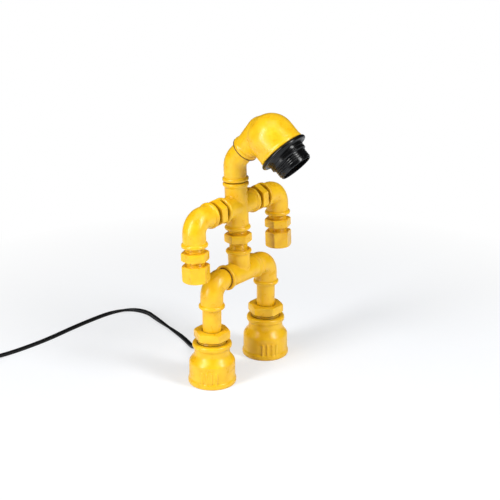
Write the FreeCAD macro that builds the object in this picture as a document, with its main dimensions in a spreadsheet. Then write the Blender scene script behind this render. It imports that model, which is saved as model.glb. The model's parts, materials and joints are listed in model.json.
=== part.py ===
import FreeCAD, Part
import math
import os

import Sketcher
from FreeCAD import Placement, Rotation, Vector

# Table lamp put together from painted malleable pipe fittings as a standing figure.
# Millimetres. Origin on the table under the middle of the lamp, +Z up. The figure
# faces -Y with its arms along X. "Left" is -X, the left hand side seen from the front.

SIZES = [
    # Half inch pipe and thread. Threads are plain cylinders on their crests.
    ("pipe_od", 21.3, "outside of half inch pipe"),
    ("pipe_bore", 16.1, "inside of half inch pipe"),
    ("thread_od", 20.8, "crests of the half inch male thread"),
    ("thread_clear", 0.05, "radial play of a male thread in its socket"),
    ("thread_run", 13.0, "thread that is screwed in by hand and wrench"),
    ("socket_depth", 15.6, "depth of a half inch female thread"),
    ("nipple_bore", 15.0, "way through a nipple"),
    ("end_chamfer", 0.8, "chamfer on the end of a male thread"),
    # Walls of the half inch fittings
    ("body_od", 25.6, "round body of a fitting"),
    ("bead_od", 29.5, "reinforcing bead round each mouth"),
    ("bead_width", 5.0, "length of that bead"),
    ("bead_drop", 1.1, "rounding of the bead down to the mouth's face"),
    ("cavity_d", 18.4, "cored way inside a fitting"),
    ("branch_od", 25.0, "side branches of a tee or a cross, a little slimmer"),
    ("saddle_fillet", 2.2, "casting radius where two branches meet"),
    # Centre to face lengths
    ("tee_reach", 27.5, "tee, centre to each mouth"),
    ("cross_reach", 27.4, "cross, centre to each mouth"),
    ("elbow_reach", 28.4, "elbow, centre to each mouth"),
    ("bend_radius", 15.0, "centre line radius of the right angle elbows"),
    ("street_reach", 34.9, "street elbow, centre to the end of its male thread"),
    ("street_straight", 1.5, "street elbow, straight run after its bend"),
    ("street_neck_od", 22.4, "street elbow next to its male thread"),
    ("street_taper", 3.2, "street elbow, taper down to that neck"),
    ("cavity_bend", 12.0, "centre line radius of the cored way in an arm elbow"),
    # Hexagon nipple and cap
    ("hex_flats", 27.0, "hexagon of nipples and caps, across flats"),
    ("hex_width", 9.4, "length of a nipple's hexagon"),
    ("hex_corner", 1.3, "turned corner of a hexagon, radially"),
    ("nipple_half", 22.4, "hexagon nipple, centre to end"),
    ("waist_gap", 23.4, "tee to cross"),
    ("waist_offset", 1.9, "the waist hexagon sits this much above mid gap"),
    ("shoulder_gap", 18.4, "cross to arm elbow"),
    ("wrist_gap", 20.4, "arm elbow to hand cap"),
    ("cap_height", 19.0, "hand cap"),
    ("cap_depth", 14.0, "blind thread in the hand cap"),
    ("cap_drill", 1.5, "cone at the bottom of that thread"),
    ("cap_corner", 3.2, "rounding of the closed end of the cap, radially"),
    ("cap_corner_height", 1.9, "height of that rounding"),
    ("cap_corner_round", 3.8, "radius of that rounding"),
    ("waist_hex_turn", 12.0, "waist hexagon turned about the torso, in degrees"),
    ("wrist_hex_turn", 20.0, "wrist and hand hexagons turned about the arm, in degrees"),
    # Neck
    ("neck_gap", 1.2, "cross to neck elbow, over the close nipple"),
    ("neck_reach", 23.1, "neck elbow, female mouth to bend point"),
    ("neck_bend", 46.5, "turn of the neck elbow in degrees"),
    ("neck_radius", 19.0, "centre line radius of the neck elbow"),
    ("neck_male_reach", 32.0, "neck elbow, bend point to the end of its thread"),
    ("neck_to_head", 20.1, "bend point to the head's small mouth"),
    # Head, a reducing elbow 1 1/4 by 1/2
    ("head_small_reach", 36.7, "head, axis crossing to the small mouth"),
    ("head_large_reach", 30.6, "head, axis crossing to the large mouth"),
    ("head_od", 52.0, "round of the head"),
    ("head_bead_od", 53.4, "low bead round the large mouth"),
    ("head_bead_width", 4.0, "length of that bead"),
    ("head_small_bead_od", 31.6, "bead round the small mouth"),
    ("head_small_body_od", 28.4, "body over the small mouth"),
    ("head_round_forward", 12.0, "centre of the round in front of the axis crossing"),
    ("head_nape_od", 34.0, "round end of the head's neck"),
    ("head_nape_drop", 5.0, "centre of that round end below the axis crossing"),
    ("head_cone_stop", 1.0, "straight run from the neck's taper to the small bead"),
    ("head_fillet", 4.0, "casting radius between the head's neck and its round"),
    ("head_cavity_d", 44.6, "cored round inside the head"),
    ("nape_cavity_d", 26.4, "cored round inside the neck's end"),
    # Lampholder, E27, black phenolic
    ("sleeve_od", 39.8, "outside thread of the lampholder sleeve"),
    ("sleeve_wall", 2.3, "wall of the sleeve"),
    ("sleeve_clear", 0.05, "radial play of ring and mouth on the sleeve"),
    ("sleeve_end", 55.2, "head's axis crossing to the sleeve's open end"),
    ("sleeve_length", 40.0, "length of the sleeve"),
    ("holder_cap_od", 38.4, "dome behind the sleeve"),
    ("holder_cap_wall", 2.0, "wall of that dome"),
    ("holder_cap_skirt", 5.0, "skirt of the dome inside the sleeve"),
    ("holder_cap_side", 5.0, "straight side of the dome"),
    ("holder_cap_depth", 9.0, "dome from its shoulder to its boss"),
    ("holder_cap_round", 30.7, "radius of the dome's slope"),
    ("holder_boss_od", 12.6, "boss for the cord grip"),
    ("holder_boss_length", 3.4, "length of that boss"),
    ("block_gap", 0.3, "between the dome's skirt and the contact block"),
    ("insert_floor", 6.0, "contact block behind the bulb"),
    ("insert_wall", 2.4, "barrel round the screw shell"),
    ("insert_recess", 5.6, "barrel stands back from the sleeve's end"),
    ("shell_bore", 26.6, "inside of the E27 screw shell"),
    ("shell_wall", 0.5, "sheet of the screw shell"),
    ("shell_length", 18.6, "length of the screw shell"),
    ("shell_recess", 2.0, "screw shell stands back from the barrel's end"),
    ("contact_rise", 2.3, "centre contact above the block"),
    ("contact_d", 8.0, "centre contact"),
    ("terminal_pitch", 16.0, "between the two terminal screws"),
    ("terminal_d", 5.6, "head of a terminal screw"),
    ("terminal_head", 2.4, "height of that head"),
    ("terminal_shank_d", 3.0, "shank of a terminal screw"),
    ("terminal_shank", 4.0, "length of that shank"),
    ("grip_od", 9.8, "threaded cord grip"),
    ("grip_flange_od", 12.2, "flange of the cord grip"),
    ("grip_flange", 1.4, "thickness of that flange"),
    # Shade ring
    ("ring_od", 57.4, "flange of the shade ring"),
    ("ring_rim", 4.4, "thickness of the flange's round rim"),
    ("ring_web", 2.8, "thickness of the flange inside its rim"),
    ("ring_dish", 3.4, "slope of the flange up to the collar"),
    ("ring_dish_round", 6.8, "radius of that slope"),
    ("ring_collar_od", 43.8, "grip collar of the shade ring"),
    ("ring_length", 12.6, "whole length of the shade ring"),
    ("ring_gap", 0.3, "between the head's mouth and the ring"),
    # Legs and feet
    ("leg_spread", 98.8, "between the two legs"),
    ("hip_height", 118.0, "hip line above the table"),
    ("foot_height", 49.0, "reducing socket 1 1/4 by 1"),
    ("foot_bead_od", 54.8, "bead at the table"),
    ("foot_bead_height", 7.0, "height of that bead"),
    ("foot_body_od", 52.2, "lower body of the foot"),
    ("foot_shoulder", 25.0, "height where the shoulder starts"),
    ("foot_neck_od", 40.2, "upper body of the foot"),
    ("foot_neck_start", 36.5, "height where the shoulder ends"),
    ("foot_top_bead_od", 44.8, "bead round the upper mouth"),
    ("foot_top_bead_height", 7.0, "height of that bead"),
    ("foot_bore", 39.9, "large thread of the foot"),
    ("foot_bore_depth", 19.0, "depth of that thread"),
    ("foot_top_depth", 16.5, "depth of the upper thread"),
    ("foot_step", 0.6, "step round the lower end of the upper thread"),
    ("foot_step_height", 2.0, "height of that step"),
    ("foot_rib_width", 1.7, "grip rib of the foot"),
    ("foot_rib_rise", 0.9, "rib above the body"),
    ("foot_rib_top", 20.0, "height where a rib ends"),
    ("foot_rib_angle", 12.0, "between ribs, in degrees"),
    ("foot_rib_count", 4, "ribs in each group"),
    ("left_rib_turn", 194.0, "first rib round the left foot, in degrees"),
    ("right_rib_turn", 211.0, "first rib round the right foot, in degrees"),
    ("foot_rib_back", 150.0, "from the front group of ribs to the back group, in degrees"),
    # Hexagon bushing 1 by 1/2
    ("bushing_flats", 36.0, "hexagon of the bushing"),
    ("bushing_hex", 9.6, "length of that hexagon"),
    ("bushing_corner", 1.8, "turned corner of that hexagon"),
    ("bushing_thread_od", 32.8, "crests of its one inch thread"),
    ("bushing_stand", 4.5, "thread left between foot and hexagon"),
    ("bushing_engaged", 14.0, "thread inside the foot"),
    ("bushing_mouth", 0.35, "recess of the bushing round the pipe, radially"),
    ("bushing_mouth_depth", 1.2, "depth of that recess"),
    ("pipe_shoulder", 2.4, "pipe's full diameter starts this far above its thread"),
    ("pipe_runout", 0.6, "thread left in sight at the top of the pipe"),
    # Posture
    ("torso_lean", 3.1, "torso leans back about the hip line, in degrees"),
    ("neck_turn", 3.8, "neck elbow turned towards +X, in degrees"),
    ("head_turn", 2.3, "head turned about the neck, in degrees"),
    ("setback", 28.9, "hip line behind the origin"),
    # Cord and what is on it
    ("cord_d", 5.2, "width of the cord"),
    ("lead_d", 3.0, "cores inside the head"),
    ("lead_gap", 0.3, "between the leads of two parts that turn"),
    ("exit_height", 14.0, "hole for the cord above the table"),
    ("exit_azimuth", 55.0, "direction of that hole round the foot, in degrees"),
    ("exit_hole_d", 9.0, "that hole"),
    ("relief_flange_od", 12.6, "flange of the strain relief"),
    ("relief_flange", 1.6, "thickness of that flange"),
    ("relief_length", 20.0, "tapered tail of the strain relief"),
    ("relief_root_d", 8.6, "tail at the flange"),
    ("relief_tip_d", 6.6, "tail at its tip"),
    ("relief_clear", 0.1, "between the cord and the strain relief, radially"),
    ("exit_straight", 18.0, "straight run of the cord past the strain relief"),
    ("lead_bend", 13.0, "bend of the cord inside the fittings"),
    ("core_side", 7.8, "cores beside the head's axis crossing"),
    ("core_turn", 24.0, "cores turn this far below that crossing"),
    ("core_bend", 3.9, "bend of the cores"),
    ("coil_middle_d", 58.0, "middle of the coil's turns"),
    ("coil_width", 11.2, "two turns side by side"),
    ("coil_height", 10.4, "three layers of turns"),
    # Inline switch
    ("switch_length", 60.0, "switch housing along the cord"),
    ("switch_width", 24.0, "switch housing across"),
    ("switch_base_height", 7.0, "lower shell"),
    ("switch_cover_height", 8.0, "upper shell"),
    ("switch_wall", 1.6, "wall of both shells"),
    ("switch_round", 3.0, "rounding of the upper shell"),
    ("switch_entry", 4.0, "cord inside the end of the housing"),
    ("window_length", 15.0, "window for the rocker"),
    ("window_width", 10.0, "window for the rocker, across"),
    ("rocker_end_gap", 0.9, "before and behind the rocker in its window"),
    ("rocker_side_gap", 0.4, "beside the rocker in its window"),
    ("rocker_rise", 1.7, "ends of the rocker above the housing, when level"),
    ("rocker_dish", 0.9, "hollow in the rocker's top"),
    ("rocker_foot", 1.6, "rocker below its pivot"),
    ("rocker_tilt", 8.0, "rocker at rest, in degrees"),
    ("pivot_d", 2.4, "pivot of the rocker"),
    ("pivot_depth", 3.4, "pivot below the top of the upper shell"),
    ("cheek_wall", 1.6, "cheek beside the window that carries the pivot"),
    ("contact_strip", 8.0, "length of a switch contact"),
    ("contact_strip_width", 4.0, "width of a switch contact"),
    ("contact_strip_height", 2.2, "height of a switch contact"),
    ("contact_strip_pitch", 16.0, "between the two switch contacts"),
    ("switch_cord_height", 6.4, "cord's axis in the switch, above the table"),
    # Plug
    ("plug_length", 35.0, "two pin plug, body"),
    ("plug_width", 35.3, "plug across its pins"),
    ("plug_thick", 13.7, "plug, thickness"),
    ("plug_widest", 19.2, "from the plug's cord end to its widest place"),
    ("plug_front_width", 30.4, "plug at the face with its pins"),
    ("plug_tail_width", 18.0, "plug at its cord end"),
    ("plug_round", 3.2, "rounding of the plug"),
    ("pin_d", 4.0, "contact pin"),
    ("pin_tip", 1.6, "rounding of a pin's tip"),
    ("pin_length", 19.0, "contact pin in front of the body"),
    ("pin_pitch", 19.0, "between the pins"),
    ("tail_length", 22.0, "tapered tail of the plug"),
    ("tail_root_d", 9.0, "tail at the plug"),
]

doc = FreeCAD.newDocument("pipe_lamp")
sheet = doc.addObject("Spreadsheet::Sheet", "Sizes")


class Size:
    """A number and the sheet formula that gives it."""

    def __init__(self, value, text=None):
        self.value = float(value)
        self.text = text if text is not None else repr(float(value))

    def __add__(self, other):
        other = as_size(other)
        return Size(self.value + other.value, f"({self.text} + {other.text})")

    def __sub__(self, other):
        other = as_size(other)
        return Size(self.value - other.value, f"({self.text} - {other.text})")

    def __mul__(self, other):
        other = as_size(other)
        return Size(self.value * other.value, f"({self.text} * {other.text})")

    def __truediv__(self, other):
        other = as_size(other)
        return Size(self.value / other.value, f"({self.text} / {other.text})")

    def __neg__(self):
        return Size(-self.value, f"(-{self.text})")


def as_size(number):
    return number if isinstance(number, Size) else Size(number)


class Sheet:
    """The driving sizes by name."""


S = Sheet()
for row, (alias, number, meaning) in enumerate(SIZES, 1):
    sheet.set(f"A{row}", meaning)
    sheet.set(f"B{row}", str(number))
    sheet.setAlias(f"B{row}", alias)
    setattr(S, alias, Size(number, f"Sizes.{alias}"))
doc.recompute()

thread_r = S.thread_od / 2
socket_r = thread_r + S.thread_clear
body_r = S.body_od / 2
bead_r = S.bead_od / 2
cavity_r = S.cavity_d / 2
sleeve_r = S.sleeve_od / 2
ORIGIN = (-1, 1)
H_AXIS = -1
V_AXIS = -2
# A cutting profile reaches this far past the piece that it cuts.
OVERCUT = 1
# An edge this close to a plane lies in it.
TOUCH = 0.01
# Corners of a hexagon are turned off at 30 degrees.
CORNER_SLOPE = math.tan(math.radians(30))


# Sketches

def new_body(label):
    body = doc.addObject("PartDesign::Body", label)
    body.Label = label
    return body


def new_sketch(body, name, plane="XZ_Plane", lift=None):
    """A sketch on one of the body's own planes, lifted along the plane's normal."""
    sketch = body.newObject("Sketcher::SketchObject", name)
    support = [face for face in body.Origin.OriginFeatures if face.Role == plane][0]
    sketch.AttachmentSupport = [(support, "")]
    sketch.MapMode = "FlatFace"
    if lift is not None:
        sketch.AttachmentOffset = Placement(Vector(0, 0, lift.value), Rotation())
        sketch.setExpression("AttachmentOffset.Base.z", lift.text)
    return sketch


def bind(sketch, constraint, size):
    """Add a dimension and let the sheet drive it."""
    index = sketch.addConstraint(constraint)
    sketch.setExpression(f"Constraints[{index}]", size.text)


def pin_point(sketch, geometry, end, across, up):
    """Hold one point at its distances from the sketch's origin."""
    if across.value == 0:
        sketch.addConstraint(Sketcher.Constraint("PointOnObject", geometry, end, V_AXIS))
    else:
        rule = Sketcher.Constraint("DistanceX", *ORIGIN, geometry, end, across.value)
        bind(sketch, rule, across)
    if up.value == 0:
        sketch.addConstraint(Sketcher.Constraint("PointOnObject", geometry, end, H_AXIS))
    else:
        rule = Sketcher.Constraint("DistanceY", *ORIGIN, geometry, end, up.value)
        bind(sketch, rule, up)


def directed(radial, along, way):
    """A point at a radius and a distance along a mouth's direction, in the sketch."""
    if way == "up":
        return radial, along
    if way == "down":
        return radial, -along
    if way == "right":
        return along, radial
    return -along, radial


def arc_centre(start, end, radius):
    """Centre of an arc in (radius, distance) terms. A positive radius bulges outwards."""
    middle = ((start[0] + end[0]) / 2, (start[1] + end[1]) / 2)
    chord = (end[0] - start[0], end[1] - start[1])
    length = math.hypot(*chord)
    rise = math.sqrt(max(radius * radius - length * length / 4, 0.0))
    normal = (-chord[1] / length, chord[0] / length)
    centres = [(middle[0] + side * rise * normal[0], middle[1] + side * rise * normal[1])
               for side in (1, -1)]
    return min(centres) if radius > 0 else max(centres)


def profile(sketch, corners, way="up"):
    """A closed outline turned about a mouth's axis. A corner is (radial, along) with a
    third value where the edge to the next corner is an arc of that radius."""
    corners = [tuple(as_size(value) for value in corner) for corner in corners]
    ends = []
    for index, corner in enumerate(corners):
        following = corners[(index + 1) % len(corners)]
        first = directed(corner[0], corner[1], way)
        last = directed(following[0], following[1], way)
        start = Vector(first[0].value, first[1].value, 0)
        finish = Vector(last[0].value, last[1].value, 0)
        if len(corner) == 2:
            sketch.addGeometry(Part.LineSegment(start, finish), False)
            ends.append((1, 2))
            continue
        radius = corner[2]
        radial, along = arc_centre(
            (corner[0].value, corner[1].value),
            (following[0].value, following[1].value), radius.value)
        across, up = directed(Size(radial), Size(along), way)
        centre = Vector(across.value, up.value, 0)
        angle_start = math.atan2(start.y - centre.y, start.x - centre.x)
        angle_finish = math.atan2(finish.y - centre.y, finish.x - centre.x)
        turn = (angle_finish - angle_start) % (2 * math.pi)
        circle = Part.Circle(centre, Vector(0, 0, 1), abs(radius.value))
        if turn < math.pi:
            sketch.addGeometry(Part.ArcOfCircle(circle, angle_start, angle_start + turn), False)
            ends.append((1, 2))
        else:
            back = 2 * math.pi - turn
            sketch.addGeometry(Part.ArcOfCircle(circle, angle_finish, angle_finish + back), False)
            ends.append((2, 1))
    count = len(corners)
    for index, corner in enumerate(corners):
        following = (index + 1) % count
        sketch.addConstraint(Sketcher.Constraint(
            "Coincident", index, ends[index][1], following, ends[following][0]))
        across, up = directed(corner[0], corner[1], way)
        pin_point(sketch, index, ends[index][0], across, up)
    for index, corner in enumerate(corners):
        if len(corner) == 3:
            radius = corner[2] if corner[2].value > 0 else -corner[2]
            bind(sketch, Sketcher.Constraint("Radius", index, radius.value), radius)


def circle_sketch(sketch, radius, across=Size(0), up=Size(0)):
    circle = Part.Circle(Vector(across.value, up.value, 0), Vector(0, 0, 1), radius.value)
    index = sketch.addGeometry(circle, False)
    pin_point(sketch, index, 3, across, up)
    bind(sketch, Sketcher.Constraint("Radius", index, radius.value), radius)


def rectangle(sketch, left, bottom, right, top):
    profile(sketch, [(left, bottom), (right, bottom), (right, top), (left, top)])


def hexagon(sketch, flats):
    """A regular hexagon about the origin, one corner on the horizontal axis."""
    corner_r = flats / math.sqrt(3)
    corners = [Vector(corner_r.value * math.cos(turn * math.pi / 3),
                      corner_r.value * math.sin(turn * math.pi / 3), 0) for turn in range(6)]
    for turn in range(6):
        sketch.addGeometry(Part.LineSegment(corners[turn], corners[(turn + 1) % 6]), False)
    circle = Part.Circle(Vector(0, 0, 0), Vector(0, 0, 1), corner_r.value)
    round_corners = sketch.addGeometry(circle, True)
    sketch.addConstraint(Sketcher.Constraint("Coincident", round_corners, 3, *ORIGIN))
    bind(sketch, Sketcher.Constraint("Radius", round_corners, corner_r.value), corner_r)
    for turn in range(6):
        sketch.addConstraint(Sketcher.Constraint(
            "Coincident", turn, 2, (turn + 1) % 6, 1))
        sketch.addConstraint(Sketcher.Constraint("PointOnObject", turn, 1, round_corners))
    for turn in range(1, 6):
        sketch.addConstraint(Sketcher.Constraint("Equal", 0, turn))
    sketch.addConstraint(Sketcher.Constraint("PointOnObject", 0, 1, H_AXIS))


def bend_path(sketch, first_run, turn, radius, second_run):
    """Centre line of a bend: up from a mouth below the origin, round it, and out
    towards +X. A turn of None is a right angle."""
    angle = math.radians(turn.value if turn is not None else 90)
    tangent = radius * math.tan(angle / 2)
    out = Vector(math.sin(angle), math.cos(angle), 0)
    low = Vector(0, -first_run.value, 0)
    start = Vector(0, -tangent.value, 0)
    finish = out * tangent.value
    far = out * second_run.value
    centre = Vector(radius.value, -tangent.value, 0)
    circle = Part.Circle(centre, Vector(0, 0, 1), radius.value)
    first = sketch.addGeometry(Part.LineSegment(low, start), False)
    arc = sketch.addGeometry(Part.ArcOfCircle(circle, math.pi - angle, math.pi), False)
    second = sketch.addGeometry(Part.LineSegment(finish, far), False)
    pin_point(sketch, first, 1, Size(0), -first_run)
    sketch.addConstraint(Sketcher.Constraint("PointOnObject", first, 2, V_AXIS))
    sketch.addConstraint(Sketcher.Constraint("Tangent", first, 2, arc, 2))
    sketch.addConstraint(Sketcher.Constraint("Tangent", arc, 1, second, 1))
    bind(sketch, Sketcher.Constraint("Radius", arc, radius.value), radius)
    if turn is None:
        sketch.addConstraint(Sketcher.Constraint("PointOnObject", second, 1, H_AXIS))
        sketch.addConstraint(Sketcher.Constraint("PointOnObject", second, 2, H_AXIS))
        bind(sketch, Sketcher.Constraint(
            "DistanceX", *ORIGIN, second, 2, second_run.value), second_run)
        return
    lift = Size(90 - turn.value, f"((90 - {turn.text}) * 1 deg)")
    bind(sketch, Sketcher.Constraint("Angle", second, math.radians(lift.value)), lift)
    sketch.addConstraint(Sketcher.Constraint("PointOnObject", *ORIGIN, second))
    reach = Sketcher.Constraint("Distance", *ORIGIN, second, 2, second_run.value)
    bind(sketch, reach, second_run)


# Features

def turned(body, name, corners, way="up", cut=False):
    """A profile turned right round the axis of a mouth, added or cut away."""
    sketch = new_sketch(body, name + "_profile")
    profile(sketch, corners, way)
    kind = "PartDesign::Groove" if cut else "PartDesign::Revolution"
    feature = body.newObject(kind, name)
    feature.Profile = sketch
    axis = "V_Axis" if way in ("up", "down") else "H_Axis"
    feature.ReferenceAxis = (sketch, [axis])
    feature.Angle = 360
    return feature


def swept(body, name, radius, first_run, turn, bend, second_run, cut=False):
    """A round section swept along a bend, added or cut away."""
    path = new_sketch(body, name + "_path")
    bend_path(path, first_run, turn, bend, second_run)
    section = new_sketch(body, name + "_section", "XY_Plane", -first_run)
    circle_sketch(section, radius)
    kind = "PartDesign::SubtractivePipe" if cut else "PartDesign::AdditivePipe"
    feature = body.newObject(kind, name)
    feature.Profile = section
    feature.Spine = path
    return feature


def padded(body, name, sketch, length, cut=False, backwards=False, both=False):
    """A sketch given a thickness, added or cut away, to one side or to both alike."""
    feature = body.newObject("PartDesign::Pocket" if cut else "PartDesign::Pad", name)
    feature.Profile = sketch
    feature.Length = length.value
    feature.setExpression("Length", length.text)
    feature.Reversed = backwards
    if both:
        feature.SideType = "Symmetric"
    return feature


def bead_arc(rise, half_width):
    """Radius of an arc that climbs by a rise over half a bead and ends level."""
    return (rise * rise + half_width * half_width) / (rise * 2)


def bead_profile(reach, body, bead, width):
    """The rounded bead at a mouth, down to the fitting's axis."""
    half = width / 2
    return [(0, reach - width), (body, reach - width, bead_arc(bead - body, half)),
            (bead, reach - half, bead_arc(S.bead_drop, half)),
            (bead - S.bead_drop, reach), (0, reach)]


def branch_profile(reach, body, bead, width):
    """A round branch from the centre out to its beaded mouth."""
    return [(0, 0), (body, 0)] + bead_profile(reach, body, bead, width)[1:]


def thread_profile(reach):
    """The female thread of a half inch mouth."""
    start = reach - S.socket_depth
    return [(0, start), (cavity_r, start), (socket_r, start + (socket_r - cavity_r)),
            (socket_r, reach), (0, reach)]


def socket_profile(reach, start=Size(0)):
    """The cored way and the female thread of a half inch mouth."""
    return [(0, start), (cavity_r, start)] + thread_profile(reach)[1:]


def male_profile(start, end):
    """A male thread from the body out to its chamfered end."""
    return [(0, start), (thread_r, start), (thread_r, end - S.end_chamfer),
            (thread_r - S.end_chamfer, end), (0, end)]


def edges_where(shape, test):
    return [f"Edge{index}" for index, edge in enumerate(shape.Edges, 1) if test(edge)]


def filleted(body, name, radius, test):
    """Round the edges of a body that pass a test."""
    doc.recompute()
    edges = edges_where(body.Tip.Shape, test)
    feature = body.newObject("PartDesign::Fillet", name)
    feature.Base = (feature.BaseFeature, edges)
    feature.Radius = radius.value
    feature.setExpression("Radius", radius.text)
    return feature


# Pipe fittings

def is_saddle(edge):
    """A curve where two round branches of a casting meet: it lies square to no axis."""
    box = edge.BoundBox
    return min(box.XLength, box.YLength, box.ZLength) > TOUCH


def branched_fitting(label, reach, run, branches):
    """A tee or a cross: a straight run through the centre, and side branches."""
    body = new_body(label)
    for way in run:
        turned(body, f"run_{way}", branch_profile(reach, body_r, bead_r, S.bead_width), way)
    for way in branches:
        turned(body, f"branch_{way}",
               branch_profile(reach, S.branch_od / 2, bead_r, S.bead_width), way)
    filleted(body, "saddle", S.saddle_fillet, is_saddle)
    for way in run + branches:
        turned(body, f"socket_{way}", socket_profile(reach), way, cut=True)
    return body


def arm_elbow(label):
    """An elbow with two female mouths, one down and one towards +X."""
    body = new_body(label)
    reach = S.elbow_reach
    swept(body, "bend", body_r, reach - S.bead_width, None, S.bend_radius,
          reach - S.bead_width)
    for way in ("down", "right"):
        turned(body, f"mouth_{way}",
               bead_profile(reach, body_r, bead_r, S.bead_width), way)
    swept(body, "way", cavity_r, reach - S.socket_depth, None, S.cavity_bend,
          reach - S.socket_depth, cut=True)
    for way in ("down", "right"):
        turned(body, f"socket_{way}", thread_profile(reach), way,
               cut=True)
    return body


def street_elbow(label):
    """An elbow with a female mouth down and a male thread towards +X."""
    body = new_body(label)
    reach = S.elbow_reach
    straight_end = S.bend_radius + S.street_straight
    swept(body, "bend", body_r, reach - S.bead_width, None, S.bend_radius, straight_end)
    turned(body, "mouth", bead_profile(reach, body_r, bead_r, S.bead_width), "down")
    neck_end = S.street_reach - S.thread_run
    neck_r = S.street_neck_od / 2
    turned(body, "neck", [(0, straight_end), (body_r, straight_end),
                          (neck_r, straight_end + S.street_taper),
                          (neck_r, neck_end), (0, neck_end)], "right")
    turned(body, "male", male_profile(neck_end, S.street_reach), "right")
    swept(body, "way", S.nipple_bore / 2, reach - S.socket_depth + OVERCUT, None,
          S.bend_radius, S.street_reach + OVERCUT, cut=True)
    turned(body, "socket", thread_profile(reach), "down", cut=True)
    return body


def hexagon_ring(body, name, flats, low, width, corner):
    """A hexagon between two levels with its corners turned off top and bottom."""
    sketch = new_sketch(body, name + "_sketch", "XY_Plane", low)
    hexagon(sketch, flats)
    padded(body, name, sketch, width)
    corner_r = flats / math.sqrt(3)
    drop = corner * CORNER_SLOPE
    past = (corner + OVERCUT) * CORNER_SLOPE
    high = low + width
    beyond = corner_r + OVERCUT
    turned(body, name + "_top", [(corner_r - corner, high), (beyond, high),
                                 (beyond, high - past), (corner_r, high - drop)], cut=True)
    turned(body, name + "_foot", [(corner_r - corner, low), (corner_r, low + drop),
                                  (beyond, low + past), (beyond, low)], cut=True)


def bored(body, name, radius, low, high):
    turned(body, name, [(0, low), (radius, low), (radius, high), (0, high)], cut=True)


def hexagon_nipple(label):
    """Two male threads with a hexagon between them."""
    body = new_body(label)
    half = S.nipple_half
    turned(body, "threads", [(0, -half), (thread_r - S.end_chamfer, -half),
                             (thread_r, S.end_chamfer - half),
                             (thread_r, half - S.end_chamfer),
                             (thread_r - S.end_chamfer, half), (0, half)])
    hexagon_ring(body, "hexagon", S.hex_flats, -S.hex_width / 2, S.hex_width, S.hex_corner)
    bored(body, "bore", S.nipple_bore / 2, -half - OVERCUT, half + OVERCUT)
    return body


def close_nipple(label):
    """A short nipple, all thread, that hides between two fittings."""
    body = new_body(label)
    half = S.thread_run + S.neck_gap / 2
    bore_r = S.nipple_bore / 2
    turned(body, "thread", [(bore_r, -half), (thread_r - S.end_chamfer, -half),
                            (thread_r, S.end_chamfer - half),
                            (thread_r, half - S.end_chamfer),
                            (thread_r - S.end_chamfer, half), (bore_r, half)])
    return body


def hand_cap(label):
    """A hexagon cap, open upwards, that closes the end of an arm."""
    body = new_body(label)
    sketch = new_sketch(body, "hexagon_sketch", "XY_Plane", -S.cap_height)
    hexagon(sketch, S.hex_flats)
    padded(body, "hexagon", sketch, S.cap_height)
    corner_r = S.hex_flats / math.sqrt(3)
    beyond = corner_r + OVERCUT
    round_top = S.cap_corner_height - S.cap_height
    turned(body, "closed_end", [
        (corner_r - S.cap_corner, -S.cap_height, S.cap_corner_round), (corner_r, round_top),
        (beyond, round_top), (beyond, -S.cap_height)], cut=True)
    turned(body, "open_end", [(corner_r - S.hex_corner, 0), (beyond, 0),
                              (beyond, -(S.hex_corner + OVERCUT) * CORNER_SLOPE),
                              (corner_r, -S.hex_corner * CORNER_SLOPE)], cut=True)
    turned(body, "thread", [(0, -S.cap_depth - S.cap_drill), (socket_r, -S.cap_depth),
                            (socket_r, 0), (0, 0)], cut=True)
    return body


def neck_elbow(label):
    """A street elbow of 45 degrees: female mouth down, male thread up into the head."""
    body = new_body(label)
    reach = S.neck_reach
    neck_end = S.neck_male_reach - S.thread_run
    swept(body, "bend", body_r, reach - S.bead_width, S.neck_bend, S.neck_radius, neck_end)
    turned(body, "mouth", bead_profile(reach, body_r, bead_r, S.bead_width), "down")
    swept(body, "male", thread_r, reach - S.bead_width, S.neck_bend, S.neck_radius,
          S.neck_male_reach)
    swept(body, "way", S.nipple_bore / 2, reach - S.socket_depth + OVERCUT, S.neck_bend,
          S.neck_radius, S.neck_male_reach + OVERCUT, cut=True)
    turned(body, "socket", thread_profile(reach), "down", cut=True)
    return body


def head_elbow(label):
    """A reducing elbow: half inch mouth down, 1 1/4 inch mouth towards +X."""
    body = new_body(label)
    head_r = S.head_od / 2
    bead = S.head_bead_od / 2
    reach = S.head_large_reach
    half = S.head_bead_width / 2
    forward = S.head_round_forward
    turned(body, "round", [(0, forward - head_r, head_r), (head_r, forward),
                           (head_r, reach - S.head_bead_width, bead_arc(bead - head_r, half)),
                           (bead, reach - half, bead_arc(S.bead_drop, half)),
                           (bead - S.bead_drop, reach), (0, reach)], "right")
    small_r = S.head_small_body_od / 2
    small_bead = S.head_small_bead_od / 2
    nape_r = S.head_nape_od / 2
    drop = S.head_nape_drop
    small = S.head_small_reach
    half = S.bead_width / 2
    turned(body, "neck", [(0, drop - nape_r, nape_r), (nape_r, drop),
                          (small_r, small - S.bead_width - S.head_cone_stop),
                          (small_r, small - S.bead_width, bead_arc(small_bead - small_r, half)),
                          (small_bead, small - half, bead_arc(S.bead_drop, half)),
                          (small_bead - S.bead_drop, small), (0, small)], "down")
    filleted(body, "saddle", S.head_fillet, is_saddle)
    cavity = S.head_cavity_d / 2
    mouth_bore = sleeve_r + S.sleeve_clear
    turned(body, "hollow", [(0, forward - cavity, cavity), (cavity, forward),
                            (mouth_bore, forward), (mouth_bore, reach), (0, reach)],
           "right", cut=True)
    nape = S.nape_cavity_d / 2
    turned(body, "nape_hollow", [(0, drop - nape, nape), (nape, drop),
                                 (cavity_r, small - S.socket_depth),
                                 (0, small - S.socket_depth)], "down", cut=True)
    turned(body, "socket", thread_profile(small), "down", cut=True)
    return body


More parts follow.
